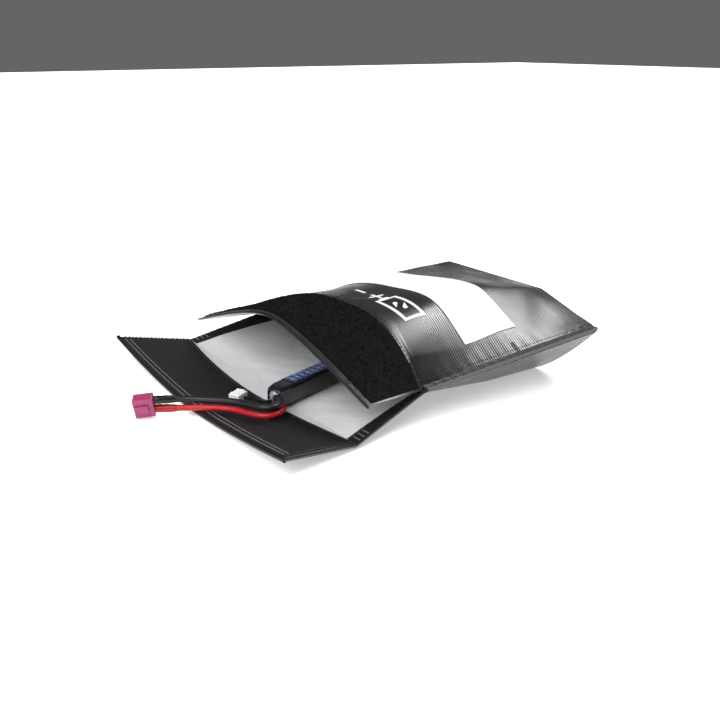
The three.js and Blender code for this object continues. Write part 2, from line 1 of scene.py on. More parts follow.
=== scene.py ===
# %% [markdown]
# # A fire-resistant charging bag, open, with a small battery pack in its mouth
# The bag is one folded and sewn piece of coated cloth with a silver glass-cloth lining. Hook tape covers
# the flap, loop tape covers the lip. Every piece is built in metres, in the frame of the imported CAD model.

import math

import bmesh
import bpy
import numpy as np
from mathutils import Matrix, Vector


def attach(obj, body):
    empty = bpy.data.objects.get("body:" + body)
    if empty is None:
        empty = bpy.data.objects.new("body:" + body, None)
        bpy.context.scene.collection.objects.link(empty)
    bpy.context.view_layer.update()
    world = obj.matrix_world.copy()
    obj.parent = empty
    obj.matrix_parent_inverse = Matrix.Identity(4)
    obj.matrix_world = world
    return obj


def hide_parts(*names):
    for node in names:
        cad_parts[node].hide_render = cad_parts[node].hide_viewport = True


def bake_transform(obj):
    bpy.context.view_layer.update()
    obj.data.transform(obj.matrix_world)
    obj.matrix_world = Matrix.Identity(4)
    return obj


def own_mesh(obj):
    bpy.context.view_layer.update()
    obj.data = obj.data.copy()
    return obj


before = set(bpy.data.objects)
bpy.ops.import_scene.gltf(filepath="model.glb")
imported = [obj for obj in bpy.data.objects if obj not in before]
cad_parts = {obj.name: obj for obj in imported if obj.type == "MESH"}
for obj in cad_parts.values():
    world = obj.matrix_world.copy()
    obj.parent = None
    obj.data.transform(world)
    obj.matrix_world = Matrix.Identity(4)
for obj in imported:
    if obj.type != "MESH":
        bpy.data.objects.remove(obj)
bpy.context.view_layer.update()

# %% [markdown]
# ## Where things are
# The cloth is drawn in millimetres from the fold of the flap, with +X into the bag. One shift takes that
# drawing to the row frame, whose origin lies under the middle of the bag.

# %% Shift from the drawing to the row frame
FOLD_X = -72.35


def row(points):
    """Millimetres from the fold to metres in the row frame."""
    return (np.asarray(points, float) + np.array([FOLD_X, 0.0, 0.0])) / 1000.0


# %% [markdown]
# ## Camera
# A long-ish lens looks down on the bag at twenty degrees from its front left, which shows the open mouth,
# the near side seam and the top in one view. The camera comes first, because the leads are judged by it.

# %% Camera
camera_data = bpy.data.cameras.new("camera")
camera_data.sensor_width = 36.0
camera_data.lens = 44.55
camera_data.clip_start, camera_data.clip_end = 0.01, 20.0
camera = bpy.data.objects.new("camera", camera_data)
bpy.context.scene.collection.objects.link(camera)
turn, dip = math.radians(34.861), math.radians(19.837)
sight = Vector((math.sin(turn) * math.cos(dip), math.cos(turn) * math.cos(dip), -math.sin(dip)))
camera.location = row((-252.8, -472.9, 212.9))
camera.rotation_mode = "QUATERNION"
camera.rotation_quaternion = sight.to_track_quat("-Z", "Y")
bpy.context.scene.camera = camera

# %% [markdown]
# ## Materials: the two helpers
# A colour is written as it would be mixed for a screen and turned to the linear values that shaders use.
# One function adds a node, sets its values and joins its inputs, so each material reads from top to bottom.

# %% Colour and node helpers
COLOURS = {"data_type": "RGBA"}


def linear(code):
    """sRGB hex to linear RGBA."""
    parts = [int(code[i : i + 2], 16) / 255 for i in (1, 3, 5)]
    return [c / 12.92 if c <= 0.04045 else ((c + 0.055) / 1.055) ** 2.4 for c in parts] + [1.0]


def add(tree, kind, settings=(), **inputs):
    """Adds a node. settings are its properties; an input is a value, or another node's output to join."""
    node = tree.nodes.new(kind)
    for key, value in dict(settings).items():
        setattr(node, key, value)
    for key, value in inputs.items():
        numbered = key[0] == "i" and key[1:].isdigit()
        socket = node.inputs[int(key[1:]) if numbered else key.replace("_", " ")]
        if isinstance(value, bpy.types.NodeSocket):
            tree.links.new(value, socket)
        else:
            socket.default_value = value
    return node


def new_material(name, colour, roughness, **shader):
    """A named material with one Principled shader, and its node tree."""
    material = bpy.data.materials.new(name)
    material.use_nodes = True
    tree = material.node_tree
    tree.nodes.clear()
    output = add(tree, "ShaderNodeOutputMaterial")
    surface = add(tree, "ShaderNodeBsdfPrincipled", Base_Color=linear(colour), Roughness=roughness)
    for key, value in shader.items():
        surface.inputs[key.replace("_", " ")].default_value = value
    tree.links.new(surface.outputs[0], output.inputs[0])
    return material, tree, surface


def raise_surface(tree, surface, height, depth_mm, strength=1.0):
    """Joins a 0-to-1 height to the shader's normal as a bump of that depth."""
    bump = add(tree, "ShaderNodeBump", Height=height, Distance=depth_mm / 1000, Strength=strength)
    tree.links.new(bump.outputs[0], surface.inputs["Normal"])
    return bump


# %% [markdown]
# ## Coordinates that follow the cloth
# Cloth pieces carry a UV map in which one unit is one metre of cloth, so a thread keeps its real spacing
# wherever the cloth bends. A Mapping node scales that to one unit for each thread.

# %% Weave pattern


def threads(tree, across_mm, along_mm, coordinates="UV"):
    """Two sets of rounded ridges at right angles, from 0 to 1, with the given spacings in millimetres."""
    place = add(tree, "ShaderNodeTexCoord")
    scaled = add(
        tree,
        "ShaderNodeMapping",
        Vector=place.outputs[coordinates],
        Scale=(1000 / across_mm, 1000 / along_mm, 1000 / across_mm),
    )
    split = add(tree, "ShaderNodeSeparateXYZ", Vector=scaled.outputs[0])
    ridges = []
    for axis in (0, 1):
        turnover = add(tree, "ShaderNodeMath", {"operation": "MULTIPLY"}, i0=split.outputs[axis], i1=2 * math.pi)
        wave = add(tree, "ShaderNodeMath", {"operation": "SINE"}, i0=turnover.outputs[0])
        ridges.append(add(tree, "ShaderNodeMath", {"operation": "MULTIPLY_ADD"}, i0=wave.outputs[0], i1=0.5, i2=0.5))
    return place, ridges


# %% [markdown]
# ## PVC-coated polyester
# The outer cloth is a coarse polyester scrim pressed into black PVC. The coating is smooth between the
# threads and the threads show through it as fine ribs, strongest across the bag. That gives the eye a dark
# cloth with a broad silvery sheen which breaks up into lines. Thread spacing is 1.6 mm across and 1.3 mm
# along.

# %% PVC-coated polyester
pvc_cloth, tree, shader = new_material(
    "pvc_coated_polyester", "#1a1a1c", 0.34, IOR=1.55, Specular_IOR_Level=0.8
)
place, (rib, filling) = threads(tree, 1.6, 1.3)
weave = add(tree, "ShaderNodeMath", {"operation": "MULTIPLY_ADD"}, i0=filling.outputs[0], i1=0.15, i2=rib.outputs[0])
cloudy = add(tree, "ShaderNodeTexNoise", Vector=place.outputs["UV"], Scale=38.0, Detail=3.0, Roughness=0.55)
uneven = add(tree, "ShaderNodeMapRange", Value=cloudy.outputs[0], i1=0.3, i2=0.7, i3=0.23, i4=0.36)
tree.links.new(uneven.outputs[0], shader.inputs["Roughness"])
dull = add(tree, "ShaderNodeMix", COLOURS, Factor=rib.outputs[0], i6=linear("#0c0c0e"), i7=linear("#151517"))
tree.links.new(dull.outputs[2], shader.inputs["Base Color"])
raise_surface(tree, shader, weave.outputs[0], 0.13, 0.7)

# %% [markdown]
# At the side seams the cloth is pressed flat into a flange. Its coating there is painted greyer than
# elsewhere, a painted sheen for the light that the flat flange catches, and it is a little smoother.

# %% Flange cloth with painted sheen
# The grey base colour here is painted sheen: the flat flange is drawn lighter than the black cloth around it.
flange_cloth_painted_sheen, tree, shader = new_material("pvc_flange_painted_sheen", "#3c3c40", 0.3, IOR=1.55, Specular_IOR_Level=0.8)
_, (rib, _) = threads(tree, 1.6, 1.3)
raise_surface(tree, shader, rib.outputs[0], 0.05)

# %% [markdown]
# ## Silicone-faced glass cloth
# The lining is woven glass with a silver-grey silicone face. The weave is finer, about 0.9 mm, and the
# face is satin, so it looks nearly white where light reaches it and grey inside the pouch.

# %% Silicone-faced glass cloth
glass_cloth, tree, shader = new_material("silicone_faced_glass_cloth", "#e6e6e6", 0.42, Metallic=0.1, IOR=1.45)
place, (warp, weft) = threads(tree, 0.95, 0.95)
weave = add(tree, "ShaderNodeMath", {"operation": "MULTIPLY"}, i0=warp.outputs[0], i1=weft.outputs[0])
shade = add(tree, "ShaderNodeMix", COLOURS, Factor=weave.outputs[0], i6=linear("#d3d4d6"), i7=linear("#f3f3f2"))
smear = add(tree, "ShaderNodeTexNoise", Vector=place.outputs["UV"], Scale=22.0, Detail=4.0, Roughness=0.6)
worn = add(tree, "ShaderNodeMapRange", Value=smear.outputs[0], i1=0.35, i2=0.7, i3=0.34, i4=0.56)
tree.links.new(shade.outputs[2], shader.inputs["Base Color"])
tree.links.new(worn.outputs[0], shader.inputs["Roughness"])
crumple = add(tree, "ShaderNodeTexNoise", Vector=place.outputs["UV"], Scale=70.0, Detail=3.0, Distortion=0.8)
folds = raise_surface(tree, shader, crumple.outputs[0], 1.6, 0.55)
fine = raise_surface(tree, shader, weave.outputs[0], 0.06)
tree.links.new(folds.outputs[0], fine.inputs["Normal"])

# %% [markdown]
# ## Nylon tapes and thread
# Loop pile and hooks are real geometry here, so their material only needs the dull black of dyed nylon,
# with a little sheen on the fibres. The binding is a ribbed woven tape, and the thread is twisted.

# %% Dyed nylon: loop pile, hook tape, binding, thread
loop_pile, tree, shader = new_material("nylon_loop_pile", "#0b0b0c", 0.8, Specular_IOR_Level=0.12)
place = add(tree, "ShaderNodeTexCoord")
fluff = add(tree, "ShaderNodeTexNoise", Vector=place.outputs["Object"], Scale=900.0, Detail=3.0)
tone = add(tree, "ShaderNodeMapRange", Value=fluff.outputs[0], i1=0.4, i2=0.68)
patchy = add(tree, "ShaderNodeMix", COLOURS, Factor=tone.outputs[0], i6=linear("#020203"), i7=linear("#0a0a0b"))
tree.links.new(patchy.outputs[2], shader.inputs["Base Color"])
raise_surface(tree, shader, fluff.outputs[0], 0.3)

hook_nylon, tree, shader = new_material("nylon_hook_tape", "#17171a", 0.5, IOR=1.53, Specular_IOR_Level=0.3)
_, (ground, picks) = threads(tree, 1.5, 0.75)
ribbing = add(tree, "ShaderNodeMath", {"operation": "MULTIPLY"}, i0=ground.outputs[0], i1=picks.outputs[0])
tint = add(tree, "ShaderNodeMix", COLOURS, Factor=ribbing.outputs[0], i6=linear("#050506"), i7=linear("#1b1b1e"))
tree.links.new(tint.outputs[2], shader.inputs["Base Color"])
raise_surface(tree, shader, ribbing.outputs[0], 0.3)

binding_nylon, tree, shader = new_material("woven_nylon_binding", "#0e0e10", 0.45, IOR=1.53, Specular_IOR_Level=0.3)
_, (rib, pick) = threads(tree, 1.1, 0.9)
twill = add(tree, "ShaderNodeMath", {"operation": "MULTIPLY"}, i0=rib.outputs[0], i1=pick.outputs[0])
raise_surface(tree, shader, twill.outputs[0], 0.12)


def twisted_thread(name, colour, sheen):
    """Sewing thread of 0.7 mm, which turns about once in a millimetre."""
    material, tree, shader = new_material(name, colour, 0.45, Sheen_Weight=sheen)
    place = add(tree, "ShaderNodeTexCoord")
    bands = {"bands_direction": "DIAGONAL"}
    twist = add(tree, "ShaderNodeTexWave", bands, Vector=place.outputs["Object"], Scale=320.0, Distortion=0.4)
    raise_surface(tree, shader, twist.outputs[0], 0.12)
    return material


sewing_thread = twisted_thread("twisted_polyester_thread", "#141416", 0.2)
pale_thread = twisted_thread("grey_polyester_thread", "#77777b", 0.3)

# %% [markdown]
# ## White label film and printing ink
# The label is a blank white patch of coated polyester film. The mark beside it is screen-printed ink. The
# threads of the cloth below show faintly through both.

# %% Label film and ink
label_film, tree, shader = new_material("white_polyester_film", "#f6f6f4", 0.42, IOR=1.5)
_, (rib, filling) = threads(tree, 1.6, 1.3)
through = add(tree, "ShaderNodeMath", {"operation": "MULTIPLY"}, i0=rib.outputs[0], i1=filling.outputs[0])
raise_surface(tree, shader, through.outputs[0], 0.03)

print_ink, tree, shader = new_material("white_screen_ink", "#eeeeec", 0.5)
place, (rib, _) = threads(tree, 1.6, 1.3)
speckle = add(tree, "ShaderNodeTexNoise", Vector=place.outputs["UV"], Scale=1200.0, Detail=2.0)
thin = add(tree, "ShaderNodeMapRange", Value=speckle.outputs[0], i1=0.3, i2=0.62)
ink = add(tree, "ShaderNodeMix", COLOURS, Factor=thin.outputs[0], i6=linear("#c9c9c8"), i7=linear("#f4f4f2"))
tree.links.new(ink.outputs[2], shader.inputs["Base Color"])
raise_surface(tree, shader, rib.outputs[0], 0.08)

# %% [markdown]
# ## Battery pack finishes
# Shrink film is glossy PVC with long shallow creases. The sticker is coated paper, dark blue. The end is
# sealed with a clear bead that shows the pale cell behind it.

# %% Shrink film, sticker, seal, foil, board
shrink_film, tree, shader = new_material("pvc_shrink_film", "#0a0a0d", 0.16, IOR=1.53, Coat_Weight=0.3)
place = add(tree, "ShaderNodeTexCoord")
stretch = add(
    tree,
    "ShaderNodeMapping",
    Vector=place.outputs["Object"],
    Scale=(60, 420, 260),
    Rotation=(0, 0, math.radians(-18.5)),  # along the pack
)
crease = add(tree, "ShaderNodeTexNoise", Vector=stretch.outputs[0], Scale=1.0, Detail=3.0, Distortion=0.6)
haze = add(tree, "ShaderNodeMapRange", Value=crease.outputs[0], i1=0.35, i2=0.7, i3=0.12, i4=0.3)
tree.links.new(haze.outputs[0], shader.inputs["Roughness"])
raise_surface(tree, shader, crease.outputs[0], 0.25, 0.6)

blue_paper, tree, shader = new_material("coated_label_paper", "#1b2554", 0.3, IOR=1.5, Coat_Weight=0.2)
place = add(tree, "ShaderNodeTexCoord")
fibre = add(tree, "ShaderNodeTexNoise", Vector=place.outputs["Object"], Scale=260.0, Detail=3.0)
printed = add(tree, "ShaderNodeMix", COLOURS, Factor=fibre.outputs[0], i6=linear("#141c44"), i7=linear("#22306a"))
tree.links.new(printed.outputs[2], shader.inputs["Base Color"])
raise_surface(tree, shader, fibre.outputs[0], 0.04)


def grained(name, colour, roughness, kind, depth_mm, strength=1.0, texture=(), **settings):
    """A finish with one fine texture, raised by its depth in millimetres."""
    material, tree, shader = new_material(name, colour, roughness, **settings)
    place = add(tree, "ShaderNodeTexCoord")
    grain = add(tree, kind, Vector=place.outputs["Object"], **dict(texture))
    raise_surface(tree, shader, grain.outputs[0], depth_mm, strength)
    return material


NOISE, WAVE, CELLS = "ShaderNodeTexNoise", "ShaderNodeTexWave", "ShaderNodeTexVoronoi"
sticker_ink = grained("pale_blue_ink", "#8f9cc8", 0.35, NOISE, 0.02, texture={"Scale": 900.0, "Detail": 2.0})
clear_seal = grained(
    "clear_polyolefin", "#b7cadd", 0.07, NOISE, 0.3, 0.5, {"Scale": 240.0, "Detail": 2.0},
    IOR=1.49, Transmission_Weight=0.45, Coat_Weight=0.6,
)
cell_foil = grained(
    "laminated_cell_foil", "#c3c6cb", 0.28, NOISE, 0.1, texture={"Scale": 180.0, "Detail": 4.0}, Metallic=1.0
)
fibre_board = grained("glass_epoxy_board", "#2f4f3a", 0.5, CELLS, 0.03, texture={"Scale": 1400.0}, IOR=1.55)

# %% [markdown]
# ## Lead and plug finishes
# Silicone insulation is soft and slightly greasy. The power plug is moulded nylon in magenta with a satin
# face, its blades are gold-plated brass, and the balance plug is white nylon.

# %% Silicone, heat-shrink tube, moulded nylon, gold plate


def silicone(name, low, high):
    """Silicone rubber insulation, dusted unevenly along the lead."""
    material, tree, shader = new_material(name, high, 0.36, IOR=1.43)
    place = add(tree, "ShaderNodeTexCoord")
    dust = add(tree, "ShaderNodeTexNoise", Vector=place.outputs["Object"], Scale=150.0, Detail=3.0)
    mixed = add(tree, "ShaderNodeMix", COLOURS, Factor=dust.outputs[0], i6=linear(low), i7=linear(high))
    grip = add(tree, "ShaderNodeMapRange", Value=dust.outputs[0], i1=0.3, i2=0.7, i3=0.28, i4=0.5)
    tree.links.new(mixed.outputs[2], shader.inputs["Base Color"])
    tree.links.new(grip.outputs[0], shader.inputs["Roughness"])
    raise_surface(tree, shader, dust.outputs[0], 0.05)
    return material


red_silicone = silicone("red_silicone_rubber", "#9c0e17", "#c01621")
black_silicone = silicone("black_silicone_rubber", "#0b0b0d", "#1b1b1e")
red_shrink_tube = silicone("red_heat_shrink_tube", "#8d0d16", "#b3151f")
black_shrink_tube = silicone("black_heat_shrink_tube", "#08080a", "#151518")


def moulded(name, low, high, roughness):
    """Moulded nylon with the fine spark texture of its mould, about 0.25 mm."""
    material, tree, shader = new_material(name, high, roughness, IOR=1.53)
    place = add(tree, "ShaderNodeTexCoord")
    grain = add(tree, "ShaderNodeTexNoise", Vector=place.outputs["Object"], Scale=4000.0, Detail=2.0)
    flow = add(tree, "ShaderNodeTexNoise", Vector=place.outputs["Object"], Scale=120.0, Detail=2.0)
    mixed = add(tree, "ShaderNodeMix", COLOURS, Factor=flow.outputs[0], i6=linear(low), i7=linear(high))
    tree.links.new(mixed.outputs[2], shader.inputs["Base Color"])
    raise_surface(tree, shader, grain.outputs[0], 0.03)
    return material


pink_nylon = moulded("magenta_moulded_nylon", "#8f2a58", "#a63a6b", 0.38)
white_nylon = moulded("white_moulded_nylon", "#dcdcd8", "#f1f1ee", 0.42)

gold_plate = grained(
    "gold_plated_brass", "#d9b25c", 0.22, WAVE, 0.01, texture={"Scale": 900.0, "Distortion": 1.5}, Metallic=1.0
)

# %% [markdown]
# ## Finishing helpers
# A new piece gets its material, a body to ride on and the CAD nodes that it stands for. Operators act on
# everything selected, so the selection is always cleared first.

# %% Selection and finishing


def choose_none():
    bpy.ops.object.select_all(action="DESELECT")


def choose(*objects):
    """Selects just these objects and makes the first one active."""
    choose_none()
    for o in objects:
        o.select_set(True)
    bpy.context.view_layer.objects.active = objects[0]


def apply_modifier(piece, kind, **settings):
    choose(piece)
    modifier = piece.modifiers.new(kind.lower(), kind)
    for key, value in settings.items():
        setattr(modifier, key, value)
    bpy.ops.object.modifier_apply(modifier=modifier.name)


def primitive(name, operator, **settings):
    """Adds one of Blender's own shapes and names it."""
    choose_none()
    operator(**settings)
    piece = bpy.context.active_object
    piece.name = piece.data.name = name
    return piece


def mesh_object(name, points, faces):
    data = bpy.data.meshes.new(name)
    data.from_pydata(points, [], faces)
    piece = bpy.data.objects.new(name, data)
    bpy.context.scene.collection.objects.link(piece)
    return piece


def quarter_turn(axis):
    """Turns the active shape a quarter about an axis through the origin."""
    bpy.ops.object.mode_set(mode="EDIT")
    bpy.ops.mesh.select_all(action="SELECT")
    bpy.ops.transform.rotate(value=math.pi / 2, orient_axis=axis, center_override=(0, 0, 0))
    bpy.ops.object.mode_set(mode="OBJECT")


def harvest(seed):
    """Takes the corners and faces of a small shape that will be copied, and removes the shape."""
    corners = np.array([v.co for v in seed.data.vertices])
    faces = [tuple(p.vertices) for p in seed.data.polygons]
    bpy.data.objects.remove(seed)
    return corners, faces


def slice_across(places, axis):
    """Cuts the mesh being edited with planes at right angles to an axis."""
    for at in places:
        on_plane, facing = [0.0, 0.0, 0.0], [0.0, 0.0, 0.0]
        on_plane[axis], facing[axis] = float(at), 1.0
        bpy.ops.mesh.select_all(action="SELECT")
        bpy.ops.mesh.bisect(plane_co=on_plane, plane_no=facing)


def settle(piece):
    """Puts the piece's place into its mesh, so that its object sits at the origin."""
    choose(piece)
    bpy.ops.object.transform_apply(location=True, rotation=True, scale=True)


def block(name, size, centre):
    """A plain block, its sizes in millimetres."""
    piece = primitive(name, bpy.ops.mesh.primitive_cube_add, size=1, location=centre)
    piece.scale = size
    settle(piece)
    return piece


def place_millimetres(piece, at, *turns):
    """Puts a piece drawn in millimetres around its own origin at a place of the drawing, with the given turns."""
    matrix = Matrix.Translation(Vector(row(at)))
    for angle, axis in turns:
        matrix = matrix @ Matrix.Rotation(angle, 4, axis)
    piece.data.transform(matrix @ Matrix.Diagonal((0.001, 0.001, 0.001, 1)) @ piece.matrix_world)
    piece.matrix_world = Matrix.Identity(4)
    return piece


def finish_piece(piece, material, slot, *nodes, angle=50):
    piece.data.materials.clear()
    piece.data.materials.append(material)
    choose(piece)
    bpy.ops.object.shade_smooth_by_angle(angle=math.radians(angle))
    if nodes:
        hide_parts(*nodes)
    return piece


def face_out(piece):
    """Merges doubles and turns every face of a closed mesh outwards."""
    choose(piece)
    bpy.ops.object.mode_set(mode="EDIT")
    bpy.ops.mesh.select_all(action="SELECT")
    bpy.ops.mesh.remove_doubles(threshold=1e-6)
    bpy.ops.mesh.normals_make_consistent(inside=False)
    bpy.ops.object.mode_set(mode="OBJECT")


# %% [markdown]
# ## Leads
# Two silicone leads of 3.8 mm leave the front end of the pack, turn back beside it, run out over the flap
# and end in the plug. Each is a fixed length, so its route is a list of points that it follows, lying on the
# tape and on each other. A curve with a round section makes the tube, and it becomes a mesh.

# %% Routes, in millimetres from the fold
RED_ROUTE = [
    (-10.8, -40.3, 8.4), (-12.6, -42.6, 8.2), (-12.1, -46.2, 8.2), (-14.2, -51.4, 8.1), (-19.2, -54.6, 8.0),
    (-24.6, -55.2, 8.0),
    (-29.0, -52.2, 7.9), (-32.6, -44.9, 7.6), (-36.7, -33.9, 7.1), (-42.4, -25.6, 6.7), (-46.9, -21.0, 6.5),
    (-51.2, -16.8, 6.3), (-56.0, -12.6, 5.9), (-60.8, -8.9, 5.6), (-66.2, -5.0, 5.4), (-73.0, -0.6, 5.4),
]  # fmt: skip
BLACK_ROUTE = [
    (-11.7, -39.2, 10.8), (-13.5, -41.6, 11.9), (-13.2, -45.0, 12.3), (-14.8, -49.4, 12.5), (-18.8, -53.6, 12.5),
    (-23.9, -54.4, 12.6),
    (-28.1, -50.6, 12.5), (-30.3, -43.4, 12.0), (-33.5, -34.5, 11.3), (-38.1, -26.6, 10.8), (-43.9, -19.9, 10.4),
    (-49.7, -14.1, 10.2), (-56.6, -9.0, 10.3), (-63.9, -5.4, 10.8), (-69.0, -3.9, 11.2), (-74.4, -1.4, 11.4),
]  # fmt: skip
BALANCE_ROUTE = [
    (-12.6, -34.4, 7.4), (-16.0, -33.8, 7.9), (-18.3, -30.6, 8.2), (-19.0, -27.0, 7.8), (-20.0, -22.8, 7.0),
    (-22.0, -17.6, 6.4),
]  # fmt: skip
LEAD_RADIUS = 1.9
SLEEVE_RADIUS = 2.5
SLEEVE_SHARE = 0.14


def smooth_line(route, count):
    """count points evenly along a smooth curve through the route."""
    p = np.array(route, float)
    p = np.vstack([2 * p[0] - p[1], p, 2 * p[-1] - p[-2]])
    line = []
    for k in range(1, len(p) - 2):
        t = np.linspace(0, 1, 24, endpoint=False)[:, None]
        a, b, c, d = p[k - 1 : k + 3]
        line.append(0.5 * (2 * b + (c - a) * t + (2 * a - 5 * b + 4 * c - d) * t**2 + (3 * b - a - 3 * c + d) * t**3))
    line = np.vstack([*line, p[-2:-1]])
    along = np.concatenate([[0], np.cumsum(np.linalg.norm(np.diff(line, axis=0), axis=1))])
    at = np.linspace(0, along[-1], count)
    return np.stack([np.interp(at, along, line[:, k]) for k in range(3)], axis=1), along[-1]


def tube(name, line, radii, sides=20):
    """A round tube along a line of points in metres, with one radius for each point and rounded ends."""
    data = bpy.data.curves.new(name, "CURVE")
    data.dimensions = "3D"
    data.bevel_depth = 1.0
    data.bevel_resolution = sides // 4
    data.use_fill_caps = True
    data.twist_mode = "MINIMUM"
    spline = data.splines.new("POLY")
    spline.points.add(len(line) - 1)
    spline.points.foreach_set("co", np.c_[line, np.ones(len(line))].ravel())
    spline.points.foreach_set("radius", np.broadcast_to(radii, len(line)).astype(float))
    piece = bpy.data.objects.new(name, data)
    bpy.context.scene.collection.objects.link(piece)
    choose(piece)
    bpy.ops.object.convert(target="MESH")
    piece = bpy.context.view_layer.objects.active
    face_out(piece)
    return piece


# %% Red and black lead with their heat-shrink collars
leads = {}
for label, route, material, tubing, slot in (
    ("red", RED_ROUTE, red_silicone, red_shrink_tube, "red_silicone"),
    ("black", BLACK_ROUTE, black_silicone, black_shrink_tube, "black_silicone"),
):
    line, length = smooth_line(route, 120)
    last = int(len(line) * (1 - SLEEVE_SHARE))
    lead = tube(f"{label}_silicone_lead", row(line), LEAD_RADIUS / 1000)
    finish_piece(lead, material, slot, f"{label}_lead")
    # The collar is shrunk over the lead: its mouth follows the lead and its body swells over the solder cup.
    share = np.linspace(0, 1, len(line) - last)
    swell = SLEEVE_RADIUS - 0.42 * np.exp(-((share / 0.16) ** 2)) + 0.07 * np.sin(share * 19)
    collar = tube(f"{label}_heat_shrink", row(line[last:]), swell / 1000)
    finish_piece(collar, tubing, slot, f"{label}_sleeve")
    leads[label] = (lead, collar, line, length)
    print(label, "lead", round(length, 1), "mm")

# %% [markdown]
# ## The shape of the cloth
# The bag is one lofted shell. The lower cloth lies flat in the middle and slopes up at its sides, the upper
# cloth arches over it from the side seams, and its near half is pushed up into a shoulder. Formulas give
# both surfaces, so that cloth, lining, tapes and stitches can all be laid on each other without crossing.

# %% Sizes of the cloth, in millimetres
FLAP, FOLD_HALF, FLAP_HALF = 50.0, 107.4, 116.0
FOLD_RISE, FLAP_RISE = (1.2, 3.4), (10.0, 12.5)  # near side, back side
LIP_X, LIP_HALF, LIP_Z, LIP_MIDDLE_Z = 8.0, 107.1, (24.2, 20.3), 49.2
SEAM_X, SEAM_HALF, SEAM_Z, SEAM_MIDDLE_Z = 55.0, 97.6, 18.8, 53.6
CREST_X, CREST_Z, ARCH, SHOULDER = 105.0, 53.5, (3.0, 1.7), 7.5
EAR_X, EAR_HALF, EAR_Z = 187.0, 110.8, (36.3, 25.0)
TOP_X, TOP_CREASE, TOP_Z = 197.0, 52.3, 48.3
BOTTOM_X, BOTTOM_CREASE, BOTTOM_MOUTH, WIDEN_RUN = 175.0, 69.3, 50.0, 75.0
END_BULGE, FLANGE, FLANGE_THICK, GAP, BINDING = 2.0, 5.0, 2.4, 0.3, 10.0
CLOTH, LINING = 0.9, 0.6
SIDES = (("near", -1), ("back", 1))
STITCH_INSET, STITCH_GAP, HEM_THICK = 2.0, 1.15, 0.45
TACK_X, TACK_PITCH, TACK_ENDS = 127.2, 1.3, (99.5, 93.0)
CLOTH_INSET, MOUTH_X = 0.8, 0.15  # cloth edge inside its binding; air at each side of the fold
LAYER = CLOTH + GAP
LINED = LAYER + LINING
SEAM_AT = (SEAM_X - LIP_X) / (EAR_X - LIP_X)
CREST_AT = (CREST_X - LIP_X) / (TOP_X - LIP_X)


def mix(a, b, share):
    return a + (b - a) * share


def of_side(pair, t):
    """The near or the back value, by the sign of the place across."""
    return np.where(t > 0, pair[1], pair[0])


# %% Lower surface, flap included


def lower_half(x):
    inside = np.where(
        x < SEAM_X, mix(FOLD_HALF, SEAM_HALF, x / SEAM_X), mix(SEAM_HALF, EAR_HALF, (x - SEAM_X) / (EAR_X - SEAM_X))
    )
    return np.where(x < 0, mix(FOLD_HALF, FLAP_HALF, -x / FLAP), inside)


def lower_edge_z(x, t):
    fold = of_side(FOLD_RISE, t)
    flap = mix(fold, of_side(FLAP_RISE, t), -x / FLAP)
    free = mix(fold, SEAM_Z - FLANGE_THICK / 2, x / SEAM_X)
    seam = mix(SEAM_Z, of_side(EAR_Z, t), (x - SEAM_X) / (EAR_X - SEAM_X)) - FLANGE_THICK / 2
    return np.where(x < 0, flap, np.where(x < SEAM_X, free, seam))


def lower_z(x, t):
    flat = mix(BOTTOM_MOUTH, BOTTOM_CREASE, np.clip((x - SEAM_X) / WIDEN_RUN, 0, 1) ** 0.6) / lower_half(x)
    side = np.maximum(0, (np.abs(t) - flat) / (1 - flat)) ** 1.3
    return lower_edge_z(x, t) * mix(np.abs(t) ** 1.6, side, np.clip(x / SEAM_X, 0, 1))


def lower_point(x, t, inset, lift):
    """A place on the lower cloth, kept inset from its side edge and lifted off its underside."""
    half = lower_half(x)
    y = t * (half - inset)
    return np.stack([x + 0 * t, y, lower_z(x, y / half) + lift], -1)


# %% Upper surface and closed end


def ear_share(t):
    return np.maximum(0, (np.abs(t) * EAR_HALF - TOP_CREASE) / (EAR_HALF - TOP_CREASE))


def top_x(t):
    return mix(TOP_X, EAR_X, ear_share(t))


def bottom_x(t):
    share = (np.abs(t) * EAR_HALF - BOTTOM_CREASE) / (EAR_HALF - BOTTOM_CREASE)
    return mix(BOTTOM_X, EAR_X, np.maximum(0, share))


def upper_half(a):
    flange = (FLANGE + GAP) * np.clip((a - SEAM_AT + 0.012) / 0.024, 0, 1)
    free = mix(LIP_HALF, SEAM_HALF, a / SEAM_AT)
    sewn = mix(SEAM_HALF, EAR_HALF, (a - SEAM_AT) / (1 - SEAM_AT))
    return np.where(a < SEAM_AT, free, sewn) - flange


def shoulder(a, t):
    inward = np.clip((a - SEAM_AT) / SEAM_AT, 0, 1)
    offset = t - mix(-0.72, -0.48, inward)
    bump = np.exp(-((offset / np.where(offset > 0, 0.4, 0.25)) ** 2)) - 0.02
    strength = np.clip(a / SEAM_AT, 0, 1) * mix(0.65, 1, inward) * np.clip((1 - a) / 0.35, 0, 1)
    return SHOULDER * strength * np.maximum(0, bump) * np.clip((1 + t) * 8, 0, 1)


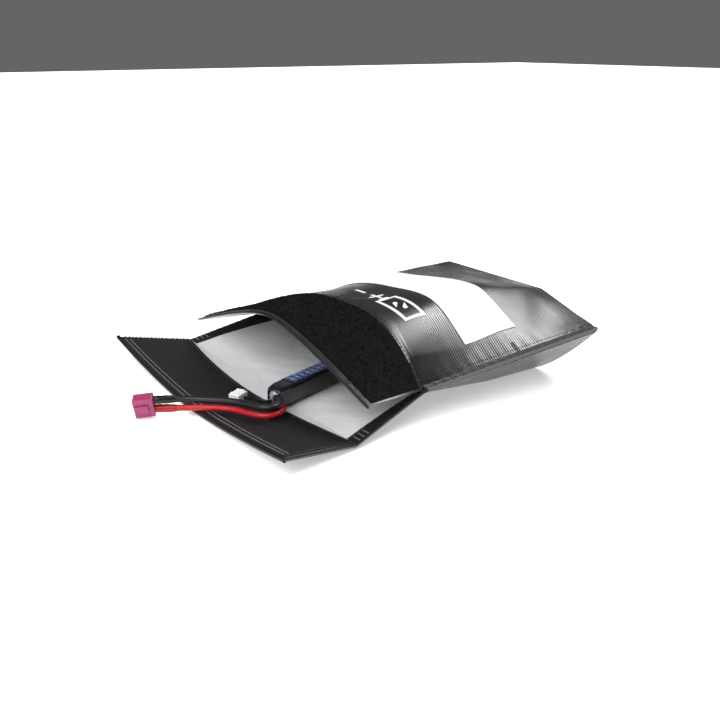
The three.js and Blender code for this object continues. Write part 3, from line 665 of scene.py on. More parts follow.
def upper_z(a, t):
    free = mix(of_side(LIP_Z, t), SEAM_Z + FLANGE_THICK / 2, a / SEAM_AT)
    sewn = mix(SEAM_Z, of_side(EAR_Z, t), (a - SEAM_AT) / (1 - SEAM_AT)) + FLANGE_THICK / 2
    rise = np.sin(np.clip((a - SEAM_AT) / (CREST_AT - SEAM_AT), 0, 1) * math.pi / 2)
    front = np.where(a < SEAM_AT, mix(LIP_MIDDLE_Z, SEAM_MIDDLE_Z, a / SEAM_AT), mix(SEAM_MIDDLE_Z, CREST_Z, rise))
    fall = (np.maximum(0, a - CREST_AT) / (1 - CREST_AT)) ** 2
    middle = np.where(a < CREST_AT, front, mix(CREST_Z, TOP_Z, fall))
    soft = (np.hypot(t, 0.12) - 0.12) / (math.hypot(1, 0.12) - 0.12)
    tent, arch, hexagon = 1 - soft**1.2, 1 - np.abs(t) ** of_side(ARCH, t), 1 - ear_share(t)
    inside = mix(arch, hexagon, (np.clip(a - SEAM_AT, 0, 1) / (1 - SEAM_AT)) ** 2)
    full = np.where(a < SEAM_AT, mix(tent, arch, np.clip(a / SEAM_AT, 0, 1)), inside)
    return mix(np.where(a < SEAM_AT, free, sewn), middle, full) + shoulder(a, t)


def rumple(x, y, edge):
    """Small folds of the upper cloth: puckers along the seams, a diagonal dent and a slack waviness."""
    sewn = np.clip((x - SEAM_X) / 12, 0, 1) * np.clip((TOP_X - 6 - x) / 10, 0, 1)
    pucker = 0.2 * np.exp(-edge / 9) * np.sin(x * 0.83 + 1.4 * np.sin(x * 0.11)) * sewn * np.clip(edge / 3, 0, 1)
    dent = -1.5 * np.exp(-(((x - 0.5 * y - 196) / 11) ** 2) - ((y + 62) / 20) ** 2)
    ridge = 0.9 * np.exp(-(((x - 0.5 * y - 215) / 9) ** 2) - ((y + 66) / 18) ** 2)
    slack = 0.4 * np.sin(x * 0.071 + 1.1) * np.sin(y * 0.083 + 0.4) + 0.2 * np.sin(x * 0.19 - y * 0.11)
    inner = np.clip(edge / 10, 0, 1) * np.clip((x - LIP_X) / 20, 0, 1) * np.clip((TOP_X - 4 - x) / 20, 0, 1)
    return pucker + (dent + ridge + slack) * inner


def upper_point(a, t, lift=0.0):
    x, half = mix(LIP_X, top_x(t), a), upper_half(a)
    y = t * half
    return np.stack([x + 0 * y, y, upper_z(a, t) + rumple(x, y, half - np.abs(y)) + lift], -1)


def on_upper(x, y, lift=0.0):
    """The same surface by distance from the fold and from the middle."""
    t = y / upper_half((x - LIP_X) / (TOP_X - LIP_X))
    a = (x - LIP_X) / (top_x(t) - LIP_X)
    return upper_point(a, y / upper_half(a), lift)


# %% [markdown]
# ## Laying cloth
# A piece of cloth starts as a flat grid. Its corners are moved onto the surface, its UV map gets the real
# distances along the cloth, and Solidify gives it the thickness of the fabric.

# %% Cloth helper


def distances(points, axis):
    """Running distance along one direction of a grid of points, zero in its middle."""
    steps = np.linalg.norm(np.diff(points, axis=axis), axis=-1)
    total = np.cumsum(steps, axis=axis)
    total = np.concatenate([np.zeros_like(np.take(total, [0], axis=axis)), total], axis=axis)
    return total - np.take(total, [total.shape[axis] // 2], axis=axis)


def lay_cloth(name, points, thickness, grow=1.0):
    """Cloth through a grid of points in millimetres, thickened along its upper (+1) or lower (-1) side."""
    nu, nv = points.shape[:2]
    piece = primitive(
        name, bpy.ops.mesh.primitive_grid_add, x_subdivisions=nu - 1, y_subdivisions=nv - 1, size=1
    )
    co = np.empty(len(piece.data.vertices) * 3, np.float32)
    piece.data.vertices.foreach_get("co", co)
    co = co.reshape(-1, 3)
    i = np.rint((co[:, 0] + 0.5) * (nu - 1)).astype(int)
    j = np.rint((co[:, 1] + 0.5) * (nv - 1)).astype(int)
    piece.data.vertices.foreach_set("co", row(points[i, j]).astype(np.float32).ravel())
    along, across = distances(points, 0)[i, j] / 1000, distances(points, 1)[i, j] / 1000
    corners = np.empty(len(piece.data.loops), np.int32)
    piece.data.loops.foreach_get("vertex_index", corners)
    uv = np.stack([along[corners], across[corners]], -1)
    piece.data.uv_layers[0].data.foreach_set("uv", uv.astype(np.float32).ravel())
    piece.data.update()
    if thickness:
        apply_modifier(piece, "SOLIDIFY", thickness=thickness / 1000, offset=grow, use_even_offset=True)
    return piece


def cloth_piece(name, points, thickness, material, slot, node, grow=1.0):
    return finish_piece(lay_cloth(name, points, thickness, grow), material, slot, node)


def grid(us, vs):
    return np.meshgrid(np.asarray(us, float), np.asarray(vs, float), indexing="ij")


def join(name, *pieces):
    choose(*pieces)
    bpy.ops.object.join()
    pieces[0].name = pieces[0].data.name = name
    return pieces[0]


ACROSS = np.sin(np.linspace(-1, 1, 161) * math.pi / 2 * 0.82) / math.sin(math.pi / 2 * 0.82)

# %% [markdown]
# ## Outer cloth
# The base, the top and the closed end are cut separately here and meet at the seams, as on the real bag.

# %% Base cloth
u, v = grid(np.linspace(0, 1, 131), ACROSS)
x = mix(MOUTH_X, bottom_x(v) - 0.4, u)
base_cloth = cloth_piece(
    "base_cloth", lower_point(x, v, CLOTH_INSET, 0.0), CLOTH, pvc_cloth, "coated_cloth", "lower_panel"
)

# %% Top cloth
a, t = grid(np.linspace(0, 1, 141), ACROSS)
top_cloth = cloth_piece("top_cloth", upper_point(a, t), CLOTH, pvc_cloth, "coated_cloth", "upper_panel", grow=-1.0)

# %% Closed end


def end_point(t, v, inset):
    low = lower_z(bottom_x(t), t)
    high = upper_z(np.ones_like(t), np.clip(t * EAR_HALF / upper_half(np.ones_like(t)), -1, 1))
    bulge = END_BULGE * 4 * v * (1 - v) + 0.35 * np.sin(t * 23) * np.sin(v * 5)
    return np.stack([mix(bottom_x(t), top_x(t), v) + bulge - inset, t * EAR_HALF, mix(low, high, v)], -1)


v, t = grid(np.linspace(0.012, 0.985, 25), np.linspace(-1, 1, 121) * (1 - (FLANGE + GAP) / EAR_HALF))
end_cloth = cloth_piece("end_cloth", end_point(t, v, 0.0), CLOTH, pvc_cloth, "coated_cloth", "end_panel")

# %% Flap cloth
x, v = grid(np.linspace(-FLAP, -MOUTH_X, 61), ACROSS)
flap_cloth = cloth_piece(
    "flap_cloth", lower_point(x, v, CLOTH_INSET, 0.0), CLOTH, pvc_cloth, "coated_cloth", "flap_panel"
)

# %% [markdown]
# ## Lining
# The glass cloth follows the outer cloth one layer further in. It is slack, so it carries shallow waves
# that show in its satin face.

# %% Lining of base, top, end and flap


def slack(x, y):
    return 0.14 * (1 + np.sin(x * 0.13 + y * 0.05) * np.sin(y * 0.09 - 0.6) + 0.5 * np.sin(x * 0.31 + y * 0.22))


u, v = grid(np.linspace(0, 1, 131), ACROSS)
x = mix(MOUTH_X, bottom_x(v) - 2.6, u)
points = lower_point(x, v, BINDING + GAP, LAYER)
points[..., 2] += slack(points[..., 0], points[..., 1])
base_lining = cloth_piece("base_lining", points, LINING, glass_cloth, "glass_cloth", "liner_lower")

a, t = grid(np.linspace(0, 0.985, 111), ACROSS * 0.985)
top_lining = cloth_piece(
    "top_lining", upper_point(a, t, -LAYER - 0.3), LINING, glass_cloth, "glass_cloth", "liner_upper", grow=-1.0
)

v, t = grid(np.linspace(0.12, 0.88, 15), np.linspace(-0.86, 0.86, 81))
end_lining = cloth_piece("end_lining", end_point(t, v, LAYER), LINING, glass_cloth, "glass_cloth", "liner_end")

x, v = grid(np.linspace(-FLAP, -MOUTH_X, 61), ACROSS)
flap_lining = cloth_piece(
    "flap_lining", lower_point(x, v, 3.3, LAYER), LINING, glass_cloth, "glass_cloth", "flap_liner"
)

# %% [markdown]
# ## Stitches
# One stitch is a short thread that rises out of one needle hole and dives into the next. It is modelled once
# and copied along each row, 3 mm apart, lying on the cloth.

# %% One stitch and a row of them
seed = primitive("stitch", bpy.ops.mesh.primitive_uv_sphere_add, segments=8, ring_count=6, radius=0.5)
quarter_turn("Y")
STITCH, STITCH_FACES = harvest(seed)


def copies(name, shape, faces, places):
    """One mesh of many copies of a small shape. places are 3 x 4 matrices, in millimetres."""
    places = np.asarray(places)
    moved = np.einsum("nij,kj->nki", places[:, :, :3], shape) + places[:, None, :, 3]
    every = [tuple(i + n * len(shape) for i in f) for n in range(len(places)) for f in faces]
    return mesh_object(name, row(moved.reshape(-1, 3)), every)


def sew(name, line, pitch=3.0, length=2.35, width=0.62, height=0.5, up=(0, 0, 1), material=None, nodes=()):
    """A row of stitches along a line of points in millimetres."""
    along = np.concatenate([[0], np.cumsum(np.linalg.norm(np.diff(line, axis=0), axis=1))])
    count = int(along[-1] // pitch)
    at = (np.arange(count) + 0.5) * along[-1] / count
    middle, ahead, behind = (
        np.stack([np.interp(at + s, along, line[:, k]) for k in range(3)], 1) for s in (0, length / 2, -length / 2)
    )
    direction = ahead - behind
    direction /= np.linalg.norm(direction, axis=1)[:, None]
    side = np.cross(np.broadcast_to(up, direction.shape), direction)
    side /= np.linalg.norm(side, axis=1)[:, None]
    top = np.cross(direction, side)
    places = np.stack([direction * length, side * width, top * height, middle + top * height * 0.12], -1)
    piece = copies(name, STITCH, STITCH_FACES, places)
    finish_piece(piece, material or sewing_thread, "thread", *nodes, angle=80)
    return piece


pouch_pieces = [base_cloth, top_cloth, end_cloth, base_lining, top_lining, end_lining]
flap_pieces = [flap_cloth, flap_lining]

# %% [markdown]
# ## Side seams
# Each side seam is a flat flange: the edges of top and base cloth, sewn together with a row on the flange
# and a second one just above it. The two layers stay visible at the outer edge as a dark line.

# %% Flanges, their stitches and the bar tacks


def on_seam(x, outward, side, lift):
    share = (x - SEAM_X) / (EAR_X - SEAM_X)
    z = mix(SEAM_Z, EAR_Z[1] if side > 0 else EAR_Z[0], share)
    wave = 0.18 * np.sin(x * 0.9) * np.clip((x - SEAM_X) / 10, 0, 1)
    return np.stack([x, side * (lower_half(x) - FLANGE + outward), z + lift + wave], -1)


for label, side in SIDES:
    x, w = grid(np.linspace(SEAM_X + 2, EAR_X, 89), np.linspace(-0.4, FLANGE, 7)[:: side])
    upper_layer = lay_cloth(f"seam_flange_{label}", on_seam(x, w, side, FLANGE_THICK / 2), 1.0, grow=-1.0)
    lower_layer = lay_cloth("seam_under", on_seam(x, w - 0.25, side, -FLANGE_THICK / 2), 1.0, grow=1.0)
    flange = join(f"seam_flange_{label}", upper_layer, lower_layer)
    # The flange takes the cloth whose lighter grey is painted sheen.
    finish_piece(flange, flange_cloth_painted_sheen, "binding_tape", f"seam_{label}")
    line = np.linspace(SEAM_X + 4, EAR_X - 4, 200)
    on_flange = on_seam(line, FLANGE * 0.62 + 0 * line, side, FLANGE_THICK / 2)
    outer = sew(f"seam_thread_outer_{label}", on_flange, nodes=[f"seam_stitch_outer_{label}"])
    a = np.linspace(SEAM_AT + 0.02, 0.985, 200)
    on_top = upper_point(a, side * (1 - STITCH_INSET / upper_half(a)))
    inner = sew(f"seam_thread_inner_{label}", on_top, nodes=[f"seam_stitch_inner_{label}"])
    tack_y = side * np.linspace(*TACK_ENDS, 40)
    rows = [on_upper(TACK_X + k * TACK_PITCH + 0 * tack_y, tack_y, 0.15) for k in (0, 1)]
    tack = join(
        f"bar_tack_thread_{label}",
        *[sew(f"tack_row_{k}", line, pitch=1.1, length=1.0, width=0.55) for k, line in enumerate(rows)],
    )
    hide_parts(f"bar_tack_{label}")
    pouch_pieces += [flange, outer, inner, tack]

# %% [markdown]
# ## Binding beside the mouth
# The free sides of the base are bound with a folded tape, 10 mm wide, held by a row of stitches. Three short
# bars of thread lock it where the flap folds.

# %% Pouch binding with its stitches and fold tacks


def on_base_edge(x, inset, side, lift):
    half = lower_half(x)
    y = side * (half - inset)
    return np.stack([x, y, lower_z(x, y / half) + lift], -1)


for label, side in SIDES:
    x, w = grid(np.linspace(0.3, SEAM_X + 3, 50), np.linspace(0, BINDING - GAP, 13)[:: -side])
    crown = 0.5 * np.sin(np.clip(w / (BINDING - GAP), 0, 1) * math.pi) + 0.12 * np.sin(x * 1.3)
    folded = on_base_edge(x, w, side, 1.0 + crown)
    binding = cloth_piece(
        f"mouth_binding_{label}", folded, 0.9, binding_nylon, "binding_tape", f"binding_{label}"
    )
    line = np.linspace(3, SEAM_X, 120)
    beside = on_base_edge(line, BINDING - 1.6 + 0 * line, side, 2.15)
    thread_row = sew(f"mouth_binding_thread_{label}", beside, pitch=2.6, length=2.0)
    inset = np.linspace(1.2, BINDING - 2.5, 30)
    tacks = join(
        f"fold_tack_{label}",
        *[
            sew(
                f"fold_bar_{k}",
                on_base_edge(3.0 + 3.4 * k + 0 * inset, inset, side, 2.35),
                pitch=1.1,
                length=1.3,
                width=0.8,
                material=pale_thread,
            )
            for k in range(3)
        ],
    )
    pouch_pieces += [binding, thread_row, tacks]

# %% [markdown]
# ## Lip with its loop tape
# The front edge of the top cloth is folded over and sewn, and the fold catches the light as a thin pale
# line. Behind it lies the loop tape: a woven ground with a dense pile of small nylon loops, which makes the
# furry outline. The pile is a rough, randomly lifted cloth with separate loops standing out of it.

# %% Folded lip hem
w, t = grid(np.linspace(0, 1, 9), ACROSS)
bend = w * math.pi
lip = upper_point(np.zeros_like(t), t)
roll = np.stack([-1.9 * np.sin(bend) + 0.05, 0 * t, -0.8 + 0.8 * np.cos(bend)], -1)
lip_hem = cloth_piece("folded_lip_hem", lip + roll[:: -1], 0.5, binding_nylon, "binding_tape", "lip_hem", grow=-1.0)

# %% Ground of the loop tape, with its rough pile
pile = np.random.default_rng(7)
LOOP_START, LOOP_END, TAPE_INSET = 2.5, 45.5, 1.0
d, s = grid(np.linspace(LOOP_START, LOOP_END, 56), np.linspace(-1, 1, 301))
a = d / (TOP_X - LIP_X)
t = s * (1 - TAPE_INSET / upper_half(a))
rough = 0.85 + 0.42 * pile.random(d.shape) + 0.2 * np.sin(d * 1.9 + 3 * np.sin(s * 37)) * np.sin(s * 91)
rough[[0, -1], :] = 0.1
rough[:, [0, -1]] = 0.1
pile_top = upper_point(a, t, 0.0) + rough[..., None] * np.array([0, 0, 1])
loop_ground = lay_cloth("loop_tape_ground", pile_top, 0.5, grow=-1.0)

# %% One loop of pile, and its copies
seed = primitive(
    "loop", bpy.ops.mesh.primitive_torus_add, major_segments=8, minor_segments=3, major_radius=0.62, minor_radius=0.13
)
quarter_turn("X")
LOOP, LOOP_FACES = harvest(seed)


def scattered(count, seed_value):
    """Random turns about the upright axis, tilted a little, as 3 x 3 matrices."""
    r = np.random.default_rng(seed_value)
    yaw, tilt, size = r.random(count) * 2 * math.pi, r.normal(0, 0.5, count), 0.7 + 0.6 * r.random(count)
    cy, sy, ct, st = np.cos(yaw), np.sin(yaw), np.cos(tilt), np.sin(tilt)
    lines = ((cy, -sy * ct, sy * st), (sy, cy * ct, -cy * st), (0 * cy, st, ct))
    turned = np.stack([np.stack(line, -1) for line in lines], 1)
    return turned * size[:, None, None]


LOOP_COUNT = 2600
d = LOOP_START + 0.6 + (LOOP_END - LOOP_START - 1.2) * pile.random(LOOP_COUNT)
s = 1.985 * (pile.random(LOOP_COUNT) - 0.5)
a = d / (TOP_X - LIP_X)
spots = upper_point(a, s * (1 - TAPE_INSET / upper_half(a)), 1.0)
tufts = copies("loop_tufts", LOOP, LOOP_FACES, np.concatenate([scattered(LOOP_COUNT, 3), spots[:, :, None]], 2))
tufts.data.uv_layers.new(name="UVMap")
loop_tape = join("loop_tape", loop_ground, tufts)
finish_piece(loop_tape, loop_pile, "loop_tape", "loop_band", angle=70)

# %% Stitches along the loop tape
line = np.linspace(-1, 1, 400)
front_at = (LOOP_START - STITCH_GAP) / (TOP_X - LIP_X)
rear_at = (LOOP_END + STITCH_GAP) / (TOP_X - LIP_X)
loop_thread_front = sew(
    "loop_thread_front", upper_point(front_at + 0 * line, line * 0.978, 0.05), nodes=["loop_stitch_front"]
)
loop_thread_rear = sew(
    "loop_thread_rear", upper_point(rear_at + 0 * line, line * 0.972, 0.05), nodes=["loop_stitch_rear"]
)
pouch_pieces += [lip_hem, loop_tape, loop_thread_front, loop_thread_rear]

# %% [markdown]
# ## Blank label and printed mark
# The label is left blank. The mark between it and the loop tape is a plain battery sign with a bolt, a plus
# and a minus, in strokes laid on the cloth.

# %% Blank label
LABEL_START, LABEL_LENGTH, LABEL_HALF = 97.0, 42.0, 84.0
x, y = grid(
    np.linspace(LABEL_START, LABEL_START + LABEL_LENGTH, 43), np.linspace(-LABEL_HALF, LABEL_HALF, 141)
)
blank_label = cloth_piece("blank_label", on_upper(x, y, 0.32), 0.25, label_film, "white_label", "label_patch")

# %% Printed battery sign


def stroke(corners):
    """Ink over a four-cornered patch, its corners as (distance into the bag, place across)."""
    c = np.array(corners, float)
    longest = max(np.linalg.norm(c[1] - c[0]), np.linalg.norm(c[3] - c[0]))
    n = int(longest / 0.9) + 2
    p, q = grid(np.linspace(0, 1, n), np.linspace(0, 1, n))
    p, q = p[..., None], q[..., None]
    flat = (1 - p) * (1 - q) * c[0] + p * (1 - q) * c[1] + p * q * c[2] + (1 - p) * q * c[3]
    return lay_cloth("ink_stroke", on_upper(flat[..., 0], flat[..., 1], 0.12), 0.1, grow=1.0)


def box_stroke(x0, x1, y0, y1):
    return stroke([(x0, y0), (x1, y0), (x1, y1), (x0, y1)])


INK = 2.2
left, right, near, far = 68.0, 84.0, -61.0, -29.0
strokes = [
    box_stroke(left, right, near, near + INK),
    box_stroke(left, right, far - INK, far),
    box_stroke(left, left + INK, near + INK, far - INK),
    box_stroke(right - INK, right, near + INK, far - INK),
    box_stroke(72.5, 79.5, far, far + 2.6),
    stroke([(72.0, -46.5), (76.6, -41.6), (76.6, -39.2), (74.2, -39.2)]),
    stroke([(75.4, -50.8), (77.8, -50.8), (80.2, -43.6), (75.4, -48.4)]),
    box_stroke(70.5, 81.5, -20.6, -18.4),
    box_stroke(74.9, 77.1, -25.0, -14.0),
    box_stroke(74.9, 77.1, -7.0, 4.0),
]
battery_sign = join("printed_battery_sign", *strokes)
finish_piece(battery_sign, print_ink, "white_label")
pouch_pieces += [blank_label, battery_sign]

# %% [markdown]
# ## Flap: hook tape, hems and bindings
# The inside of the flap is covered by hook tape. Its ground is a ribbed weave and its hooks stand in rows
# 1.5 mm apart. Two rows of pale thread run along the free end, and one beside the fold.

# %% Ground of the hook tape
HOOK_THICK, HOOK_BOW, HOOK_PITCH = 1.0, 9.0, 1.5
HOOK_BASE = LINED + GAP
HOOK_TOP = HOOK_BASE + HOOK_THICK


def hook_edge(v):
    return -TAPE_INSET - HOOK_BOW * (1 - v**2)


def on_tape(share, v, lift):
    return lower_point(mix(-FLAP, hook_edge(v), share), v, 3.4, lift)


s, v = grid(np.linspace(0, 1, 45), ACROSS)
hook_ground = lay_cloth("hook_tape_ground", on_tape(s, v, HOOK_BASE), 0.55)

# %% One hook, and its copies
seed = primitive(
    "hook", bpy.ops.mesh.primitive_cylinder_add, vertices=4, radius=0.13, depth=0.8, location=(0, 0, 0.4)
)
bpy.ops.object.mode_set(mode="EDIT")
slice_across((0.35, 0.62), 2)
bpy.ops.object.mode_set(mode="OBJECT")
HOOK, HOOK_FACES = harvest(seed)
HOOK[:, 0] += 1.05 * np.maximum(0, HOOK[:, 2] - 0.3) ** 1.5

rows_of_hooks = []
for k, y in enumerate(np.arange(-110.0, 110.1, HOOK_PITCH)):
    v = y / 113.0
    start = -FLAP + 8.0
    first = start + (HOOK_PITCH / 2 if k % 2 else 0.0)
    xs = np.arange(first, float(hook_edge(np.array(v))) - 0.8, HOOK_PITCH)
    if len(xs):
        share = (xs + FLAP) / (hook_edge(v) + FLAP)
        rows_of_hooks.append((on_tape(share, v + 0 * share, HOOK_BASE + 0.5), -1.0 if k % 2 else 1.0))
spots = np.concatenate([p for p, _ in rows_of_hooks])
facing = np.concatenate([np.full(len(p), f) for p, f in rows_of_hooks])
turned = np.zeros((len(spots), 3, 3))
turned[:, 0, 0], turned[:, 1, 1], turned[:, 2, 2] = facing, facing, 0.78
hooks = copies("hooks", HOOK, HOOK_FACES, np.concatenate([turned, spots[:, :, None]], 2))
hooks.data.uv_layers.new(name="UVMap")
hook_tape = join("hook_tape", hook_ground, hooks)
finish_piece(hook_tape, hook_nylon, "hook_tape", "hook_band", angle=40)
print("hooks", len(spots))

# %% Stitches on the hook tape
v = np.linspace(-0.985, 0.985, 400)
end_threads = [
    sew(
        f"hook_thread_{label}",
        on_tape(distance / (hook_edge(v) + FLAP), v, HOOK_TOP - 0.28),
        pitch=2.8,
        length=2.3,
        material=pale_thread,
        nodes=[f"hook_stitch_{label}"],
    )
    for label, distance in (("outer", 2.0), ("inner", 5.0))
]
fold_thread = sew(
    "hook_thread_fold", on_tape(1 - 2.0 / (hook_edge(v) + FLAP), v, HOOK_TOP - 0.28), nodes=["hook_stitch_fold"]
)

# %% Folded free end and side bindings of the flap
w, v = grid(np.linspace(0, 1, 11), ACROSS)
bend = (w - 0.5) * math.pi
x = -FLAP - 0.2 - 1.7 * np.cos(bend)
end_fold = lower_point(x, v, 0.0, 0.0)
end_fold[..., 2] += 1.4 + 1.25 * np.sin(bend)
flap_hem = cloth_piece("folded_flap_end", end_fold, HEM_THICK, binding_nylon, "binding_tape", "flap_end_hem")
flap_pieces += [hook_tape, *end_threads, fold_thread, flap_hem]
for label, side in SIDES:
    x, w = grid(np.linspace(-FLAP - 1.6, -0.15, 60), np.linspace(0, 1, 11)[:: side])
    bend = (w - 0.5) * math.pi
    half = lower_half(x)
    y = side * (half - 3.1 + 2.7 * np.cos(bend))
    z = lower_z(x, y / half) + 1.5 + 1.25 * np.sin(bend) + 0.08 * np.sin(x * 1.7)
    folded = np.stack([x, y, z], -1)
    binding = cloth_piece(
        f"flap_side_binding_{label}", folded, HEM_THICK, binding_nylon, "binding_tape", f"flap_binding_{label}"
    )
    line = np.linspace(-FLAP + 2, -2, 100)
    y = side * (lower_half(line) - 2.4)
    z = lower_z(line, y / lower_half(line)) + 3.1
    thread_row = sew(f"flap_side_thread_{label}", np.stack([line, y, z], -1), pitch=2.6, length=2.0)
    flap_pieces += [binding, thread_row]

# %% [markdown]
# ## Battery pack
# Two pouch cells lie in a sleeve of black shrink film. The film is a thin open tube: a box with rounded long
# edges whose ends have shrunk inwards. It is drawn along its own +X and then turned into the mouth.

# %% Frame of the pack
PACK_CORNER, PACK_TURN = (-9.9, -42.6, 4.3), math.radians(18.5)
PACK_LENGTH, PACK_WIDTH, PACK_HEIGHT, WRAP = 100.0, 13.0, 12.5, 0.4
STICKER_START, STICKER_LENGTH, STICKER_WIDTH = 13.0, 74.0, 10.5
WRAP_CORNER, SHRUNK_LENGTH, SHRUNK_SHARE = 2.4, 9.0, 0.2
PACK_TURNS = (PACK_TURN, "Z")

# %% Shrink film
PACK_SIZE = (PACK_LENGTH, PACK_WIDTH, PACK_HEIGHT)
film = block("shrink_film_sleeve", PACK_SIZE, [size / 2 for size in PACK_SIZE])
bpy.ops.object.mode_set(mode="EDIT")
mesh = bmesh.from_edit_mesh(film.data)
for e in mesh.edges:
    e.select = abs(e.verts[0].co.x - e.verts[1].co.x) > 1
bmesh.update_edit_mesh(film.data)
bpy.ops.mesh.bevel(offset=WRAP_CORNER, segments=7, profile=0.5, affect="EDGES")
mesh = bmesh.from_edit_mesh(film.data)
ends = [f for f in mesh.faces if abs(f.normal.x) > 0.9]
bmesh.ops.delete(mesh, geom=ends, context="FACES_ONLY")
bmesh.update_edit_mesh(film.data)
slice_across([*np.linspace(0.8, 11, 12), *np.linspace(14, 86, 25), *np.linspace(89, 99.2, 12)], 0)
slice_across([PACK_WIDTH / 2 + side for side in (-3.6, -1.8, 0, 1.8, 3.6)], 1)
slice_across([PACK_HEIGHT / 2 + side for side in (-2.6, 0, 2.6)], 2)
bpy.ops.object.mode_set(mode="OBJECT")
co = np.array([v.co for v in film.data.vertices])
from_end = np.minimum(co[:, 0], PACK_LENGTH - co[:, 0])
draw = 1 - SHRUNK_SHARE * (1 - np.clip(from_end / SHRUNK_LENGTH, 0, 1)) ** 2
around = np.arctan2(co[:, 2] - PACK_HEIGHT / 2, co[:, 1] - PACK_WIDTH / 2)
gathers = 0.16 * np.sin(around * 14) * np.exp(-from_end / 4) + 0.1 * np.sin(around * 5 + co[:, 0] * 0.14)
middle = np.array([PACK_WIDTH / 2, PACK_HEIGHT / 2])
span = co[:, 1:] - middle
co[:, 1:] = middle + span * (draw - 0.012 - np.maximum(0, gathers) / 8.0)[:, None]
film.data.vertices.foreach_set("co", co.astype(np.float32).ravel())
face_out(film)
apply_modifier(film, "SOLIDIFY", thickness=WRAP, offset=-1.0, use_even_offset=True)
apply_modifier(film, "SUBSURF", levels=1, render_levels=1)
place_millimetres(film, PACK_CORNER, PACK_TURNS)
finish_piece(film, shrink_film, "shrink_wrap", "pack_wrap", angle=60)

# %% [markdown]
# The front end of the sleeve is gathered round a clear sealing bead. The gathered film is a short collar
# that turns inwards and closes on the bead.

# %% Gathered film and clear bead
s, w = grid(np.linspace(0, 1, 7), np.linspace(0, 2 * math.pi, 73))
SQUARENESS = 0.42
cy, cz = np.cos(w), np.sin(w)
box_y = 4.95 * np.sign(cy) * np.abs(cy) ** SQUARENESS
box_z = 4.75 * np.sign(cz) * np.abs(cz) ** SQUARENESS
bead_y, bead_z = 0.2 + 3.95 * cy, 3.95 * cz
ruffle = 0.28 * np.sin(w * 11) * s * (1 - s) * 4
collar_x = 0.9 - 0.9 * np.sin(s * math.pi) - 0.2 * s + ruffle
collar_y, collar_z = PACK_WIDTH / 2 + mix(box_y, bead_y, s), PACK_HEIGHT / 2 + mix(box_z, bead_z, s)
collar_points = np.stack([collar_x, collar_y, collar_z], -1)
nu, nv = collar_points.shape[:2]
ids = np.arange(nu * nv).reshape(nu, nv)
quads = [
    (int(ids[i, j]), int(ids[i + 1, j]), int(ids[i + 1, j + 1]), int(ids[i, j + 1]))
    for i in range(nu - 1)
    for j in range(nv - 1)
]
gathered = mesh_object("gathered_film_end", collar_points.reshape(-1, 3), quads)
face_out(gathered)
apply_modifier(gathered, "SOLIDIFY", thickness=0.35, offset=0.0)
face_out(gathered)
place_millimetres(gathered, PACK_CORNER, PACK_TURNS)
finish_piece(gathered, shrink_film, "shrink_wrap", angle=60)

BEAD_AT = (2.2, PACK_WIDTH / 2 + 0.2, PACK_HEIGHT / 2)
bead = primitive(
    "clear_sealing_bead", bpy.ops.mesh.primitive_uv_sphere_add, segments=40, ring_count=24, radius=1, location=BEAD_AT
)
bead.scale = (3.7, 4.0, 4.0)
settle(bead)
co = np.array([v.co for v in bead.data.vertices])
co[:, 0] += 0.35 * np.sin(co[:, 1] * 1.7) * np.cos(co[:, 2] * 1.3)
bead.data.vertices.foreach_set("co", co.astype(np.float32).ravel())
place_millimetres(bead, PACK_CORNER, PACK_TURNS)
finish_piece(bead, clear_seal, "clear_seal", "end_seal", angle=80)

# %% Sticker with its abstract print
x, y = grid(
    np.linspace(STICKER_START, STICKER_START + STICKER_LENGTH, 60),
    np.linspace(-0.5, 0.5, 17) * STICKER_WIDTH + PACK_WIDTH / 2,
)
lift = PACK_HEIGHT + 0.12 - 0.45 * (np.abs(y - PACK_WIDTH / 2) / (STICKER_WIDTH / 2)) ** 8


def on_pack(x, y, z):
    """Pack millimetres to the drawing's millimetres."""
    c, s = math.cos(PACK_TURN), math.sin(PACK_TURN)
    turned = (x * c - y * s, x * s + y * c, z + 0 * x)
    return np.stack([corner + place for corner, place in zip(PACK_CORNER, turned)], -1)


sticker = cloth_piece("pack_label", on_pack(x, y, lift), 0.14, blue_paper, "blue_sticker", "pack_sticker")
marks = []
mark_random = np.random.default_rng(11)
for k in range(14):
    x0 = STICKER_START + 2.5 + k * 4.9
    for y0, tall in ((2.6, 0.8), (4.6, 2.6), (8.6, 1.1)):
        wide = 1.4 + 2.6 * mark_random.random()
        x, y = grid(np.linspace(x0, x0 + wide, 5), np.linspace(y0, y0 + tall, 5))
        marks.append(lay_cloth("mark", on_pack(x, y, PACK_HEIGHT + 0.3 + 0 * x), 0.06))
sticker_marks = join("pack_label_marks", *marks)
finish_piece(sticker_marks, sticker_ink, "blue_sticker")
pack_pieces = [film, gathered, bead, sticker, sticker_marks]

# %% [markdown]
# The cells and end boards inside are CAD nodes with the right shape. They keep it and take their materials.

# %% Materials of the kept CAD nodes


def paint(node, material):
    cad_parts[node].data.materials.clear()
    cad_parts[node].data.materials.append(material)


for material, *nodes in (
    (cell_foil, "cell_lower", "cell_upper"),
    (fibre_board, "front_board", "rear_board"),
    (gold_plate, "blade_flat", "blade_upright"),
):
    for node in nodes:
        paint(node, material)

# %% [markdown]
# ## Power plug
# The two-blade plug is moulded nylon: a block with softened edges, a raised key on one side, finger grooves,
# two solder cups at the back under the heat-shrink tubes and two slots in front, set at right angles.

# %% Plug housing
PLUG_AT = (-73.2, -1.2, 8.35)
PLUG_TURN, PLUG_PITCH, PLUG_ROLL = math.radians(-30), math.radians(-6), math.radians(13)
PLUG_LENGTH, PLUG_DEPTH, PLUG_HEIGHT = 12.0, 8.0, 12.5


